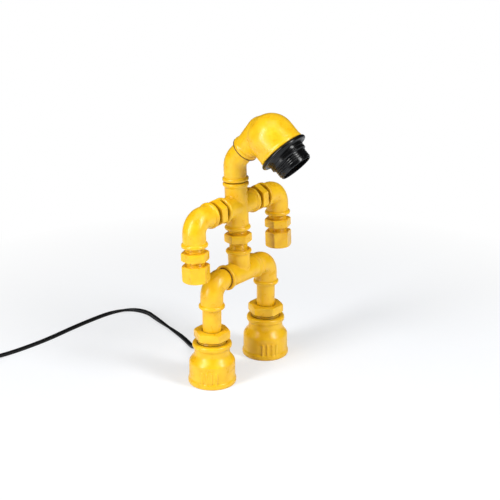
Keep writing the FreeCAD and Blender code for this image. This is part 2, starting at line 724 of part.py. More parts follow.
def foot_bell(label, rib_turn, with_cord_hole):
    """A reducing socket standing on its large mouth as a bell foot."""
    body = new_body(label)
    height = S.foot_height
    bead = S.foot_bead_od / 2
    low_r = S.foot_body_od / 2
    neck_r = S.foot_neck_od / 2
    top_bead = S.foot_top_bead_od / 2
    top_half = S.foot_top_bead_height / 2
    step = (low_r - neck_r) / 2
    shoulder_half = (S.foot_neck_start - S.foot_shoulder) / 2
    turn_r = bead_arc(step, shoulder_half)
    turned(body, "casting", [
        (0, 0), (bead - S.bead_drop, 0, bead_arc(S.bead_drop, S.foot_bead_height / 2)),
        (bead, S.foot_bead_height / 2, bead_arc(bead - low_r, S.foot_bead_height / 2)),
        (low_r, S.foot_bead_height), (low_r, S.foot_shoulder, turn_r),
        (low_r - step, S.foot_shoulder + shoulder_half, -turn_r),
        (neck_r, S.foot_neck_start),
        (neck_r, height - S.foot_top_bead_height, bead_arc(top_bead - neck_r, top_half)),
        (top_bead, height - top_half, bead_arc(S.bead_drop, top_half)),
        (top_bead - S.bead_drop, height), (0, height)])
    rib_group(body, "front_rib", rib_turn)
    rib_group(body, "back_rib", rib_turn + S.foot_rib_back)
    large = S.foot_bore / 2
    small = S.bushing_thread_od / 2 + S.thread_clear
    top_start = height - S.foot_top_depth
    turned(body, "bores", [(0, 0), (large, 0), (large, S.foot_bore_depth),
                           (small + S.foot_step, top_start - S.foot_step_height),
                           (small, top_start), (small, height), (0, height)], cut=True)
    if with_cord_hole:
        hole = new_sketch(body, "cord_hole_sketch", "YZ_Plane")
        turn = Rotation(Vector(0, 1, 0), S.exit_azimuth.value)
        hole.AttachmentOffset = Placement(Vector(), turn)
        circle_sketch(hole, S.exit_hole_d / 2, Size(0), S.exit_height)
        padded(body, "cord_hole", hole, S.foot_bead_od, cut=True, backwards=True)
    return body


def rib_group(body, name, turn):
    """Upright grip ribs side by side on the lower body, the first one at the given turn."""
    low_r = S.foot_body_od / 2
    low = S.foot_bead_height / 2
    sketch = new_sketch(body, name + "_sketch", "XY_Plane", low)
    sketch.AttachmentOffset = Placement(Vector(0, 0, low.value),
                                        Rotation(Vector(0, 0, 1), turn.value))
    sketch.setExpression("AttachmentOffset.Rotation.Angle", f"({turn.text}) * 1 deg")
    rectangle(sketch, low_r - S.foot_rib_rise, -S.foot_rib_width / 2,
              low_r + S.foot_rib_rise, S.foot_rib_width / 2)
    rib = padded(body, name, sketch, S.foot_rib_top - low)
    doc.recompute()
    group = body.newObject("PartDesign::PolarPattern", name + "_group")
    axis = [line for line in body.Origin.OriginFeatures if line.Role == "Z_Axis"][0]
    group.Originals = [rib]
    group.Axis = (axis, [""])
    spread = S.foot_rib_angle * (S.foot_rib_count - 1)
    group.Angle = spread.value
    group.setExpression("Angle", spread.text)
    group.Occurrences = int(S.foot_rib_count.value)
    group.setExpression("Occurrences", S.foot_rib_count.text)
    body.Tip = group


def hexagon_bushing(label):
    """A reducing bushing: one inch thread down, half inch thread inside."""
    body = new_body(label)
    thread = S.bushing_thread_od / 2
    low = -S.bushing_engaged
    turned(body, "thread", [(0, low), (thread - S.end_chamfer, low),
                            (thread, low + S.end_chamfer), (thread, S.bushing_stand),
                            (0, S.bushing_stand)])
    hexagon_ring(body, "hexagon", S.bushing_flats, S.bushing_stand, S.bushing_hex,
                 S.bushing_corner)
    top = S.bushing_stand + S.bushing_hex
    bored(body, "bore", socket_r, low - OVERCUT, top + OVERCUT)
    bored(body, "mouth", S.pipe_od / 2 + S.bushing_mouth, top - S.bushing_mouth_depth,
          top + OVERCUT)
    return body


def leg_pipe(label, length):
    """A length of pipe with a thread cut on both ends."""
    body = new_body(label)
    outer = S.pipe_od / 2
    bore = S.pipe_bore / 2
    low_end = S.thread_run + S.pipe_shoulder
    high_end = length - S.thread_run - S.pipe_runout
    turned(body, "pipe", [(bore, 0), (thread_r - S.end_chamfer, 0), (thread_r, S.end_chamfer),
                          (thread_r, low_end), (outer, low_end),
                          (outer, high_end), (thread_r, high_end),
                          (thread_r, length - S.end_chamfer),
                          (thread_r - S.end_chamfer, length), (bore, length)])
    return body


# Lampholder, turned pieces about the mouth's axis. Distances run from the head's
# axis crossing, so each piece has its place in its own profile.

sleeve_start = S.sleeve_end - S.sleeve_length
sleeve_inner = sleeve_r - S.sleeve_wall
block_start = sleeve_start + S.holder_cap_skirt + S.block_gap
block_end = block_start + S.insert_floor
barrel_end = S.sleeve_end - S.insert_recess
shell_r = S.shell_bore / 2
shell_end = barrel_end - S.shell_recess
cap_shoulder = sleeve_start - S.holder_cap_side
cap_crown = cap_shoulder - S.holder_cap_depth


def tube(label, inner, outer, low, high):
    body = new_body(label)
    turned(body, "wall", [(inner, low), (outer, low), (outer, high), (inner, high)])
    return body


def lampholder_sleeve(label):
    """Outer sleeve, threaded outside for the shade ring, with a rounded lip."""
    body = new_body(label)
    lip = S.sleeve_wall / 2
    turned(body, "wall", [(sleeve_inner, sleeve_start), (sleeve_r, sleeve_start),
                          (sleeve_r, S.sleeve_end - lip, lip),
                          (sleeve_r - lip, S.sleeve_end, lip),
                          (sleeve_inner, S.sleeve_end - lip)])
    return body


def lampholder_cap(label):
    """Dome that screws into the back of the sleeve and holds the cord grip."""
    body = new_body(label)
    outer = S.holder_cap_od / 2
    skirt = sleeve_inner - S.sleeve_clear
    wall = S.holder_cap_wall
    boss = S.holder_boss_od / 2
    boss_end = cap_crown - S.holder_boss_length
    grip = S.grip_od / 2 + S.thread_clear
    turned(body, "dome", [
        (grip, boss_end), (boss, boss_end), (boss, cap_crown, S.holder_cap_round),
        (outer, cap_shoulder),
        (outer, sleeve_start), (skirt, sleeve_start),
        (skirt, sleeve_start + S.holder_cap_skirt),
        (skirt - wall, sleeve_start + S.holder_cap_skirt), (skirt - wall, cap_shoulder),
        (boss + wall, cap_crown + wall), (grip, cap_crown + wall)])
    return body


def lampholder_insert(label):
    """Contact block with the barrel that carries the screw shell."""
    body = new_body(label)
    block_r = sleeve_inner - S.sleeve_clear
    barrel_inner = shell_r + S.shell_wall + S.thread_clear
    turned(body, "block", [(0, block_start), (block_r, block_start), (block_r, block_end),
                           (barrel_inner + S.insert_wall, block_end),
                           (barrel_inner + S.insert_wall, barrel_end),
                           (barrel_inner, barrel_end), (barrel_inner, block_end),
                           (0, block_end)])
    holes = new_sketch(body, "screw_hole_sketch", "XY_Plane", block_start)
    for side in (-1, 1):
        circle_sketch(holes, S.terminal_shank_d / 2 + S.thread_clear,
                      S.terminal_pitch / 2 * side)
    padded(body, "screw_holes", holes, S.terminal_shank, cut=True, backwards=True)
    return body


def terminal_screws(label):
    """The two screws that clamp the cores to the contact block."""
    body = new_body(label)
    heads = new_sketch(body, "head_sketch", "XY_Plane", block_start - S.terminal_head)
    shanks = new_sketch(body, "shank_sketch", "XY_Plane", block_start)
    for side in (-1, 1):
        circle_sketch(heads, S.terminal_d / 2, S.terminal_pitch / 2 * side)
        circle_sketch(shanks, S.terminal_shank_d / 2, S.terminal_pitch / 2 * side)
    padded(body, "heads", heads, S.terminal_head)
    padded(body, "shanks", shanks, S.terminal_shank - S.thread_clear)
    return body


def centre_contact(label):
    """Spring contact for the tip of the bulb, with a domed top."""
    body = new_body(label)
    contact_r = S.contact_d / 2
    turned(body, "button", [(0, block_end), (contact_r, block_end),
                            (contact_r, block_end + S.contact_rise / 2,
                             bead_arc(S.contact_rise / 2, contact_r)),
                            (0, block_end + S.contact_rise)])
    return body


def cord_grip(label):
    """Threaded insulating bush that brings the cores into the dome."""
    body = new_body(label)
    inner = S.lead_d / 2 + S.relief_clear
    high = cap_crown + S.holder_cap_wall
    low = cap_crown - S.holder_boss_length
    turned(body, "bush", [(inner, low - S.grip_flange), (S.grip_flange_od / 2, low - S.grip_flange),
                          (S.grip_flange_od / 2, low), (S.grip_od / 2, low),
                          (S.grip_od / 2, high), (inner, high)])
    return body


def shade_ring(label):
    """Ring that clamps a shade on the sleeve: round rim, dished web and collar."""
    body = new_body(label)
    inner = sleeve_r + S.sleeve_clear
    low = S.head_large_reach + S.ring_gap
    half = S.ring_rim / 2
    rim_r = S.ring_od / 2 - half
    collar = S.ring_collar_od / 2
    collar_start = low + S.ring_web + S.ring_dish
    high = low + S.ring_length
    lip = (collar - inner) / 2
    turned(body, "ring", [
        (inner, low), (rim_r, low, half), (S.ring_od / 2, low + half, half),
        (rim_r, low + S.ring_rim),
        (rim_r - S.ring_web / 2, low + S.ring_web, -S.ring_dish_round),
        (collar, collar_start), (collar, high - lip, lip), (collar - lip, high), (inner, high)])
    return body


# Cord, its strain relief, switch and plug

def strain_relief(label):
    """Rubber bush in the foot's hole with a tail that tapers along the cord."""
    body = new_body(label)
    inner = S.cord_d / 2 + S.relief_clear
    wall_out = S.foot_body_od / 2 + S.relief_clear
    hole = S.exit_hole_d / 2 - S.relief_clear
    flange = wall_out + S.relief_flange
    turned(body, "bush", [
        (inner, S.foot_bore / 2), (hole, S.foot_bore / 2), (hole, wall_out),
        (S.relief_flange_od / 2, wall_out), (S.relief_flange_od / 2, flange),
        (S.relief_root_d / 2, flange), (S.relief_tip_d / 2, flange + S.relief_length),
        (inner, flange + S.relief_length)])
    return body


def turning_radius(before, corner, after, bend):
    """Radius of the arc at a corner: given, or 0.45 of the shorter run."""
    into = (corner - before).normalize()
    out = (after - corner).normalize()
    half = into.getAngle(out) / 2
    if bend is not None:
        return bend, half, into, out
    shorter = min((corner - before).Length, (after - corner).Length)
    return 0.45 * shorter / math.tan(half), half, into, out


def cord_tube(label, points, diameter, bend=None):
    """A round tube along straight runs joined by tangent arcs."""
    edges = []
    radii = []
    start = points[0]
    for before, corner, after in zip(points, points[1:], points[2:]):
        radius, half, into, out = turning_radius(before, corner, after, bend)
        radii.append(radius)
        cut = radius * math.tan(half)
        enter = corner - into * cut
        leave = corner + out * cut
        inward = (out - into).normalize()
        middle = corner + inward * (radius / math.cos(half) - radius)
        edges.append(Part.LineSegment(start, enter).toShape())
        edges.append(Part.Arc(enter, middle, leave).toShape())
        start = leave
    edges.append(Part.LineSegment(start, points[-1]).toShape())
    path = Part.Wire(edges)
    ring = Part.makeCircle(diameter / 2, points[0], points[1] - points[0])
    shape = path.makePipeShell([Part.Wire([ring])], True, False)
    section = math.pi * diameter ** 2 / 4
    length = path.Length
    tightest = min(radii, default=0)
    print(f"{label}: {length:.1f} long, radii from {tightest:.1f}, "
          f"volume {shape.Volume / (section * length):.4f} of section times length")
    feature = doc.addObject("Part::Feature", label)
    feature.Label = label
    feature.Shape = shape
    return feature


def cord_coil(label):
    """The outer shape of the coil of spare cord."""
    body = new_body(label)
    inner = S.coil_middle_d / 2 - S.coil_width / 2
    outer = S.coil_middle_d / 2 + S.coil_width / 2
    round_r = S.cord_d / 2
    high = S.coil_height
    turned(body, "ring", [
        (inner + round_r, 0), (outer - round_r, 0, round_r), (outer, round_r),
        (outer, high - round_r, round_r), (outer - round_r, high), (inner + round_r, high),
        (inner, high - round_r), (inner, round_r)])
    return body


def stadium(sketch, length, width):
    """A long outline with round ends, along the sketch's horizontal axis."""
    end = width / 2
    middle = length / 2 - end
    for side in (-1, 1):
        centre = Vector(side * middle.value, 0, 0)
        circle = Part.Circle(centre, Vector(0, 0, 1), end.value)
        start = math.pi / 2 if side < 0 else -math.pi / 2
        sketch.addGeometry(Part.ArcOfCircle(circle, start, start + math.pi), False)
    left_top = Vector(-middle.value, end.value, 0)
    right_top = Vector(middle.value, end.value, 0)
    left_low = Vector(-middle.value, -end.value, 0)
    right_low = Vector(middle.value, -end.value, 0)
    sketch.addGeometry(Part.LineSegment(left_low, right_low), False)
    sketch.addGeometry(Part.LineSegment(right_top, left_top), False)
    for first, first_end, second, second_end in ((0, 2, 2, 1), (2, 2, 1, 1), (1, 2, 3, 1),
                                                 (3, 2, 0, 1)):
        sketch.addConstraint(Sketcher.Constraint(
            "Tangent", first, first_end, second, second_end))
    pin_point(sketch, 0, 3, -middle, Size(0))
    pin_point(sketch, 1, 3, middle, Size(0))
    bind(sketch, Sketcher.Constraint("Radius", 0, end.value), end)


def switch_block(body, height):
    outline = new_sketch(body, "outline", "XY_Plane")
    stadium(outline, S.switch_length, S.switch_width)
    padded(body, "block", outline, height)


def switch_hollow(body, low, depth):
    hollow = new_sketch(body, "hollow_outline", "XY_Plane", low)
    stadium(hollow, S.switch_length - S.switch_wall * 2, S.switch_width - S.switch_wall * 2)
    padded(body, "hollow", hollow, depth, cut=True, backwards=True)


def switch_cord_way(body, level):
    """The way for the cord through both ends of a shell."""
    way = new_sketch(body, "cord_way_sketch", "YZ_Plane")
    circle_sketch(way, S.cord_d / 2 + S.relief_clear, Size(0), level)
    padded(body, "cord_way", way, S.switch_length + OVERCUT * 2, cut=True, both=True)


def switch_base(label):
    """Lower shell of the inline switch, a tray on the table."""
    body = new_body(label)
    switch_block(body, S.switch_base_height)
    switch_hollow(body, S.switch_wall, S.switch_base_height)
    switch_cord_way(body, S.switch_cord_height)
    return body


def switch_cover(label):
    """Upper shell with the rocker's window and the two cheeks that carry its pivot."""
    body = new_body(label)
    high = S.switch_cover_height
    switch_block(body, high)

    def top_rim(edge):
        return edge.BoundBox.ZMin > high.value - TOUCH

    filleted(body, "top_round", S.switch_round, top_rim)
    switch_hollow(body, -S.switch_wall, high)
    cheek_sketch = new_sketch(body, "cheek_sketch", "XY_Plane", high - S.switch_wall)
    near = S.window_width / 2
    half = S.window_length / 2
    rectangle(cheek_sketch, -half, near, half, near + S.cheek_wall)
    padded(body, "near_cheek", cheek_sketch, S.pivot_depth, backwards=True)
    far_sketch = new_sketch(body, "far_cheek_sketch", "XY_Plane", high - S.switch_wall)
    rectangle(far_sketch, -half, -near - S.cheek_wall, half, -near)
    padded(body, "far_cheek", far_sketch, S.pivot_depth, backwards=True)
    window = new_sketch(body, "window_sketch", "XY_Plane", high - S.switch_wall - OVERCUT)
    rectangle(window, -half, -near, half, near)
    padded(body, "window", window, S.switch_wall + OVERCUT * 2, cut=True, backwards=True)
    pivot = new_sketch(body, "pivot_sketch", "XZ_Plane")
    circle_sketch(pivot, S.pivot_d / 2 + S.thread_clear, Size(0), high - S.pivot_depth)
    padded(body, "pivot_holes", pivot, S.window_width + (S.cheek_wall + OVERCUT) * 2,
           cut=True, both=True)
    switch_cord_way(body, S.switch_cord_height - S.switch_base_height)
    return body


def switch_rocker(label):
    """Rocker with a dished top, in one piece with its pivot."""
    body = new_body(label)
    side = new_sketch(body, "side_sketch", "XZ_Plane")
    half = S.window_length / 2 - S.rocker_end_gap
    top = S.pivot_depth + S.rocker_rise
    dish_r = bead_arc(S.rocker_dish, half)
    profile(side, [(half, -S.rocker_foot), (half, top, -dish_r), (0, top - S.rocker_dish),
                   (0, -S.rocker_foot)])
    padded(body, "half_rocker", side, S.window_width - S.rocker_side_gap * 2, both=True)
    far_side = new_sketch(body, "far_side_sketch", "XZ_Plane")
    profile(far_side, [(0, -S.rocker_foot), (0, top - S.rocker_dish, dish_r), (-half, top),
                       (-half, -S.rocker_foot)])
    padded(body, "other_half", far_side, S.window_width - S.rocker_side_gap * 2, both=True)
    pin = new_sketch(body, "pin_sketch", "XZ_Plane")
    circle_sketch(pin, S.pivot_d / 2)
    padded(body, "pin", pin, S.window_width + S.cheek_wall * 2, both=True)
    return body


def switch_contacts(label):
    """The two brass contacts on the floor of the lower shell."""
    body = new_body(label)
    strips = new_sketch(body, "strip_sketch", "XY_Plane", S.switch_wall)
    half = S.contact_strip / 2
    rectangle(strips, S.contact_strip_pitch / 2 - half, -S.contact_strip_width / 2,
              S.contact_strip_pitch / 2 + half, S.contact_strip_width / 2)
    padded(body, "strip", strips, S.contact_strip_height)
    other = new_sketch(body, "other_sketch", "XY_Plane", S.switch_wall)
    rectangle(other, -S.contact_strip_pitch / 2 - half, -S.contact_strip_width / 2,
              -S.contact_strip_pitch / 2 + half, S.contact_strip_width / 2)
    padded(body, "other_strip", other, S.contact_strip_height)
    return body


def plug_body(label):
    """Flat two pin plug with its tapered tail, cord end at the origin."""
    body = new_body(label)
    outline = new_sketch(body, "outline", "XY_Plane", -S.plug_thick / 2)
    tail = S.plug_tail_width / 2
    wide = S.plug_width / 2
    front = S.plug_front_width / 2
    profile(outline, [(0, -tail), (S.plug_widest, -wide), (S.plug_length, -front),
                      (S.plug_length, front), (S.plug_widest, wide), (0, tail)])
    padded(body, "block", outline, S.plug_thick)

    def long_edge(edge):
        return edge.BoundBox.XLength > TOUCH

    filleted(body, "soft_edges", S.plug_round, long_edge)
    turned(body, "tail", [(0, -OVERCUT), (S.tail_root_d / 2, -OVERCUT), (S.tail_root_d / 2, 0),
                          (S.relief_tip_d / 2, S.tail_length), (0, S.tail_length)], "left")
    return body


def plug_pins(label):
    """The two contact pins with rounded tips."""
    body = new_body(label)
    circles = new_sketch(body, "pin_sketch", "YZ_Plane", S.plug_length)
    for side in (-1, 1):
        circle_sketch(circles, S.pin_d / 2, S.pin_pitch / 2 * side)
    padded(body, "pins", circles, S.pin_length)
    tip = (S.plug_length + S.pin_length).value

    def tip_edge(edge):
        return edge.BoundBox.XMin > tip - TOUCH

    filleted(body, "tips", S.pin_tip, tip_edge)
    return body


# Postures: where each group of fittings stands

def moved(across=0.0, back=0.0, up=0.0):
    return Placement(Vector(across, back, up), Rotation())


def spun(axis, degrees):
    return Placement(Vector(), Rotation(axis, degrees))


X_AXIS = Vector(1, 0, 0)
Y_AXIS = Vector(0, 1, 0)
Z_AXIS = Vector(0, 0, 1)

leg_x = S.leg_spread.value / 2
hips = moved(0, S.setback.value, S.hip_height.value)
torso = hips * spun(X_AXIS, -S.torso_lean.value)
waist_up = S.tee_reach.value + S.waist_gap.value
cross_at = torso * moved(0, 0, waist_up + S.cross_reach.value)
arm_x = (S.cross_reach + S.shoulder_gap + S.elbow_reach).value
neck_at = cross_at * moved(0, 0, (S.cross_reach + S.neck_gap + S.neck_reach).value)
neck_at = neck_at * spun(Z_AXIS, S.neck_turn.value - 90)
to_head = neck_at * spun(Y_AXIS, S.neck_bend.value)
head_at = to_head * moved(0, 0, (S.neck_to_head + S.head_small_reach).value)
head_at = head_at * spun(Z_AXIS, S.head_turn.value)

made = []


def place(body, placement):
    body.Placement = placement
    made.append(body)


# Legs
pipe_low = S.foot_height + S.bushing_stand + S.bushing_hex - S.pipe_shoulder - S.thread_run
pipe_high = S.hip_height - S.elbow_reach + S.thread_run
for side, name in ((-1, "left"), (1, "right")):
    ground = moved(side * leg_x, S.setback.value, 0)
    face_in = spun(Z_AXIS, 0 if side < 0 else 180)
    rib_turn = S.left_rib_turn if side < 0 else S.right_rib_turn
    place(foot_bell(f"{name}_foot_bell", rib_turn, side < 0), ground)
    place(hexagon_bushing(f"{name}_foot_bushing"), ground * moved(0, 0, S.foot_height.value))
    place(leg_pipe(f"{name}_leg_pipe", pipe_high - pipe_low),
          ground * moved(0, 0, pipe_low.value))
    place(street_elbow(f"{name}_hip_elbow"),
          ground * moved(0, 0, S.hip_height.value) * face_in)

# Trunk
place(branched_fitting("hip_tee", S.tee_reach, ("left", "right"), ("up",)), torso)
waist_mid = (S.tee_reach + S.waist_gap / 2 + S.waist_offset).value
place(hexagon_nipple("waist_nipple"), torso * moved(0, 0, waist_mid) * spun(Z_AXIS, S.waist_hex_turn.value))
place(branched_fitting("torso_cross", S.cross_reach, ("up", "down"), ("left", "right")), cross_at)

# Arms
for side, name in ((-1, "left"), (1, "right")):
    face_in = spun(Z_AXIS, 0 if side < 0 else 180)
    shoulder = (S.cross_reach + S.shoulder_gap / 2).value
    place(hexagon_nipple(f"{name}_shoulder_nipple"),
          cross_at * moved(side * shoulder, 0, 0) * spun(Y_AXIS, 90))
    arm = cross_at * moved(side * arm_x, 0, 0) * face_in
    place(arm_elbow(f"{name}_arm_elbow"), arm)
    wrist = (S.elbow_reach + S.wrist_gap / 2).value
    wrist_turn = spun(Z_AXIS, S.wrist_hex_turn.value)
    place(hexagon_nipple(f"{name}_wrist_nipple"), arm * moved(0, 0, -wrist) * wrist_turn)
    palm = (S.elbow_reach + S.wrist_gap).value
    place(hand_cap(f"{name}_hand_cap"), arm * moved(0, 0, -palm) * wrist_turn)

# Neck and head
close_up = (S.cross_reach + S.neck_gap / 2).value
place(close_nipple("neck_nipple"), cross_at * moved(0, 0, close_up))
place(neck_elbow("neck_elbow"), neck_at)
place(head_elbow("head_elbow"), head_at)

# Lampholder and shade ring
mouth_at = head_at * spun(Y_AXIS, 90)
place(lampholder_sleeve("lampholder_sleeve"), mouth_at)
place(lampholder_cap("lampholder_cap"), mouth_at)
place(lampholder_insert("lampholder_insert"), mouth_at)
place(tube("bulb_screw_shell", shell_r, shell_r + S.shell_wall, shell_end - S.shell_length,
           shell_end), mouth_at)
place(centre_contact("centre_contact"), mouth_at)
place(terminal_screws("terminal_screws"), mouth_at)
place(cord_grip("cord_grip"), mouth_at)
place(shade_ring("shade_ring"), mouth_at)

# Strain relief in the back of the left foot
foot_centre = moved(-leg_x, S.setback.value, S.exit_height.value)
exit_at = foot_centre * spun(Z_AXIS, S.exit_azimuth.value) * spun(Y_AXIS, 90)
place(strain_relief("foot_strain_relief"), exit_at)
exit_reach = (S.foot_body_od / 2 + S.relief_clear + S.relief_flange).value
cord_exit = exit_at.multVec(Vector(0, 0, exit_reach))

# Cord inside the fittings, one length for each part that turns
half_gap = S.lead_gap.value / 2
neck_plane = (S.cross_reach + S.neck_gap / 2).value
head_plane = (S.neck_to_head).value
grip_tip = (cap_crown - S.holder_boss_length - S.grip_flange).value
made.append(cord_tube("lead_in_leg", [
    cord_exit,
    foot_centre.Base,
    moved(-leg_x, S.setback.value, S.hip_height.value).Base,
    hips.Base,
    torso.multVec(Vector(0, 0, waist_up - half_gap))], S.cord_d.value, S.lead_bend.value))
made.append(cord_tube("lead_in_torso", [
    torso.multVec(Vector(0, 0, waist_up + half_gap)),
    cross_at.multVec(Vector(0, 0, neck_plane - half_gap))], S.cord_d.value))
made.append(cord_tube("lead_in_neck", [
    cross_at.multVec(Vector(0, 0, neck_plane + half_gap)),
    neck_at.Base,
    to_head.multVec(Vector(0, 0, head_plane - half_gap))],
    S.cord_d.value, S.neck_radius.value))
core_side = S.core_side.value
core_turn = S.core_turn.value
made.append(cord_tube("lead_in_head", [
    head_at.multVec(Vector(0, 0, half_gap - S.head_small_reach.value)),
    head_at.multVec(Vector(0, 0, -core_turn)),
    head_at.multVec(Vector(-core_side, 0, -core_turn / 2)),
    head_at.multVec(Vector(-core_side, 0, 0)),
    head_at.multVec(Vector((block_start - S.terminal_head).value, 0, 0))],
    S.lead_d.value, S.core_bend.value))

# Free cord: out of the foot, round behind the lamp and off to the left, with the
# switch on it and the spare length coiled beside the plug.
floor_z = S.cord_d.value / 2
switch_at = moved(-222, 265, 0)
switch_end = (S.switch_length / 2 - S.switch_entry).value
switch_z = S.switch_cord_height.value
coil_centre = Vector(-318, 225, 0)
turn_r = S.coil_middle_d.value / 2 + S.coil_width.value / 4
ROUTE_TO_SWITCH = [
    cord_exit,
    exit_at.multVec(Vector(0, 0, exit_reach + (S.relief_length + S.exit_straight).value)),
    Vector(1, 101, floor_z),
    Vector(16, 129, floor_z),
    Vector(27, 163, floor_z),
    Vector(37, 194, floor_z),
    Vector(45.5, 217, floor_z),
    Vector(40, 240, floor_z),
    Vector(20, 254, floor_z),
    Vector(-12, 257, floor_z),
    Vector(-50, 257.5, floor_z),
    Vector(-92, 256, floor_z),
    Vector(-134, 259.5, floor_z),
    Vector(-164, 263.5, 2.8),
    Vector(-178, 264.6, 6.2),
    switch_at.multVec(Vector(switch_end, 0, switch_z)),
]
ROUTE_TO_COIL = [
    switch_at.multVec(Vector(-switch_end, 0, switch_z)),
    Vector(-264, 265.4, 6.2),
    Vector(-277, 264.5, 2.8),
    Vector(-291, 260, floor_z),
    coil_centre + Vector(12, turn_r, floor_z),
]
plug_at = moved(-351, 166, S.plug_thick.value / 2) * spun(Z_AXIS, -90)
tail_tip = plug_at.multVec(Vector(-S.tail_length.value, 0, 0))
ROUTE_TO_PLUG = [
    coil_centre + Vector(-turn_r, 1, floor_z),
    coil_centre + Vector(-turn_r - 0.4, -11, floor_z + 0.2),
    tail_tip + Vector(0, 12, 0),
    tail_tip,
]
made.append(cord_tube("cord_to_switch", ROUTE_TO_SWITCH, S.cord_d.value))
made.append(cord_tube("cord_to_coil", ROUTE_TO_COIL, S.cord_d.value))
made.append(cord_tube("cord_to_plug", ROUTE_TO_PLUG, S.cord_d.value))
place(cord_coil("cord_coil"), Placement(coil_centre, Rotation()))
place(switch_base("switch_base"), switch_at)
cover_at = switch_at * moved(0, 0, S.switch_base_height.value)
place(switch_cover("switch_cover"), cover_at)
rocker_at = cover_at * moved(0, 0, (S.switch_cover_height - S.pivot_depth).value)
place(switch_rocker("switch_rocker"), rocker_at * spun(Y_AXIS, S.rocker_tilt.value))
place(switch_contacts("switch_contacts"), switch_at)
place(plug_body("plug_body"), plug_at)
place(plug_pins("plug_pins"), plug_at)

doc.recompute()
for item in doc.Objects:
    if "Invalid" in item.State or "Error" in item.State:
        raise RuntimeError(f"{item.Name} did not build: {item.State}")
os.makedirs("parts", exist_ok=True)
for body in made:
    shape = body.Shape
    if shape.isNull() or not shape.isValid():
        raise RuntimeError(f"{body.Label} has no valid shape")
    shape.exportStep(f"parts/{body.Label}.step")
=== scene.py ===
import json
import math

import bpy
from mathutils import Matrix, Vector


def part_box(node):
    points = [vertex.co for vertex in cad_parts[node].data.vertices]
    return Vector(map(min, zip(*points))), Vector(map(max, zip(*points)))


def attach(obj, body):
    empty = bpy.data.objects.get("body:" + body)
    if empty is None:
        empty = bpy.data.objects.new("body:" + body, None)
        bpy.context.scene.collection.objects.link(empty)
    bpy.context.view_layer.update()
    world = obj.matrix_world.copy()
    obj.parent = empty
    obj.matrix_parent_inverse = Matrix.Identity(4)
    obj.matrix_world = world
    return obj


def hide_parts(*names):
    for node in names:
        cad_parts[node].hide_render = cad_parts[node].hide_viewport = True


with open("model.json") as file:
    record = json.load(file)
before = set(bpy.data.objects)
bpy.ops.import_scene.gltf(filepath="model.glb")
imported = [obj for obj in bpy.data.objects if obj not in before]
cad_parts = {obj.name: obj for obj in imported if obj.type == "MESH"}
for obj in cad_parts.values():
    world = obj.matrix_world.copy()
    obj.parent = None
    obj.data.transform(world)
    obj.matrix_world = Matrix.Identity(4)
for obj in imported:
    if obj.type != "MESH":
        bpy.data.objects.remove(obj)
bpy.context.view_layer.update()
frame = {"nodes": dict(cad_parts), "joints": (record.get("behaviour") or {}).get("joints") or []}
joints = {joint["name"]: joint for joint in frame["joints"]}

# Feet. Each is a malleable cast iron reducing socket, 1 1/4 inch by 1 inch, standing on
# its large mouth. The sand casting leaves soft edges and a few grip ribs, and the thread
# inside each mouth is hidden once the leg is screwed in and the foot is painted.

X_AXIS = Vector((1, 0, 0))
Y_AXIS = Vector((0, 1, 0))
Z_AXIS = Vector((0, 0, 1))
RING_SIDES = 72
MERGE = 0.00001
SMOOTH_UNDER = math.radians(32)
# A cast band stands up fast beside the body and rounds over to the face of the mouth.
# Each pair is a share of its width and a share of its rise.
CAST_BAND = [(0.0, 0.0), (0.06, 0.30), (0.14, 0.58), (0.26, 0.84), (0.42, 0.98), (0.58, 1.0),
             (0.74, 0.94), (0.88, 0.76), (0.96, 0.52), (1.0, 0.22)]


def only(*pieces):
    """Select these pieces and nothing else, the first one active."""
    bpy.ops.object.select_all(action="DESELECT")
    for piece in pieces:
        piece.select_set(True)
    bpy.context.view_layer.objects.active = pieces[0]


def settle(piece):
    """Put a piece's place, turn and size into its mesh."""
    only(piece)
    bpy.ops.object.transform_apply(location=True, rotation=True, scale=True)


class Wall:
    """A ring of edges that walks along a fitting and leaves the fitting's wall behind it."""

    def __init__(self, name, radius, at, heading, sides=RING_SIDES):
        self.at = Vector(at)
        self.heading = Vector(heading).normalized()
        self.radius = radius
        turn = Z_AXIS.rotation_difference(self.heading).to_euler()
        bpy.ops.object.select_all(action="DESELECT")
        bpy.ops.mesh.primitive_circle_add(vertices=sides, radius=radius, location=self.at,
                                          rotation=turn)
        self.piece = bpy.context.object
        self.piece.name = name
        self.piece.data.name = name
        settle(self.piece)
        bpy.ops.object.mode_set(mode="EDIT")
        bpy.ops.mesh.select_all(action="SELECT")

    def go(self, radius, distance):
        """Walk forward by a distance and end at a radius."""
        step = self.heading * distance
        bpy.ops.mesh.extrude_region_move(TRANSFORM_OT_translate={"value": step})
        self.at += step
        grow = radius / self.radius
        bpy.ops.transform.resize(value=(grow, grow, grow), center_override=self.at)
        self.radius = radius

    def turn(self, degrees, centre, axis, steps=14):
        """Walk round a bend. The operator's own angle runs the other way."""
        angle = math.radians(degrees)
        bpy.ops.mesh.spin(steps=steps, dupli=False, angle=-angle, center=centre, axis=axis)
        swing = Matrix.Rotation(angle, 3, axis)
        self.at = Vector(centre) + swing @ (self.at - Vector(centre))
        self.heading = swing @ self.heading

    def finish(self, capped=False):
        """Merge the last ring into the first or cap both ends, and face outwards."""
        bpy.ops.mesh.select_all(action="SELECT")
        bpy.ops.mesh.remove_doubles(threshold=MERGE)
        if capped:
            bpy.ops.mesh.fill_holes(sides=0)
        bpy.ops.mesh.select_all(action="SELECT")
        bpy.ops.mesh.normals_make_consistent(inside=False)
        bpy.ops.object.mode_set(mode="OBJECT")
        return self.piece


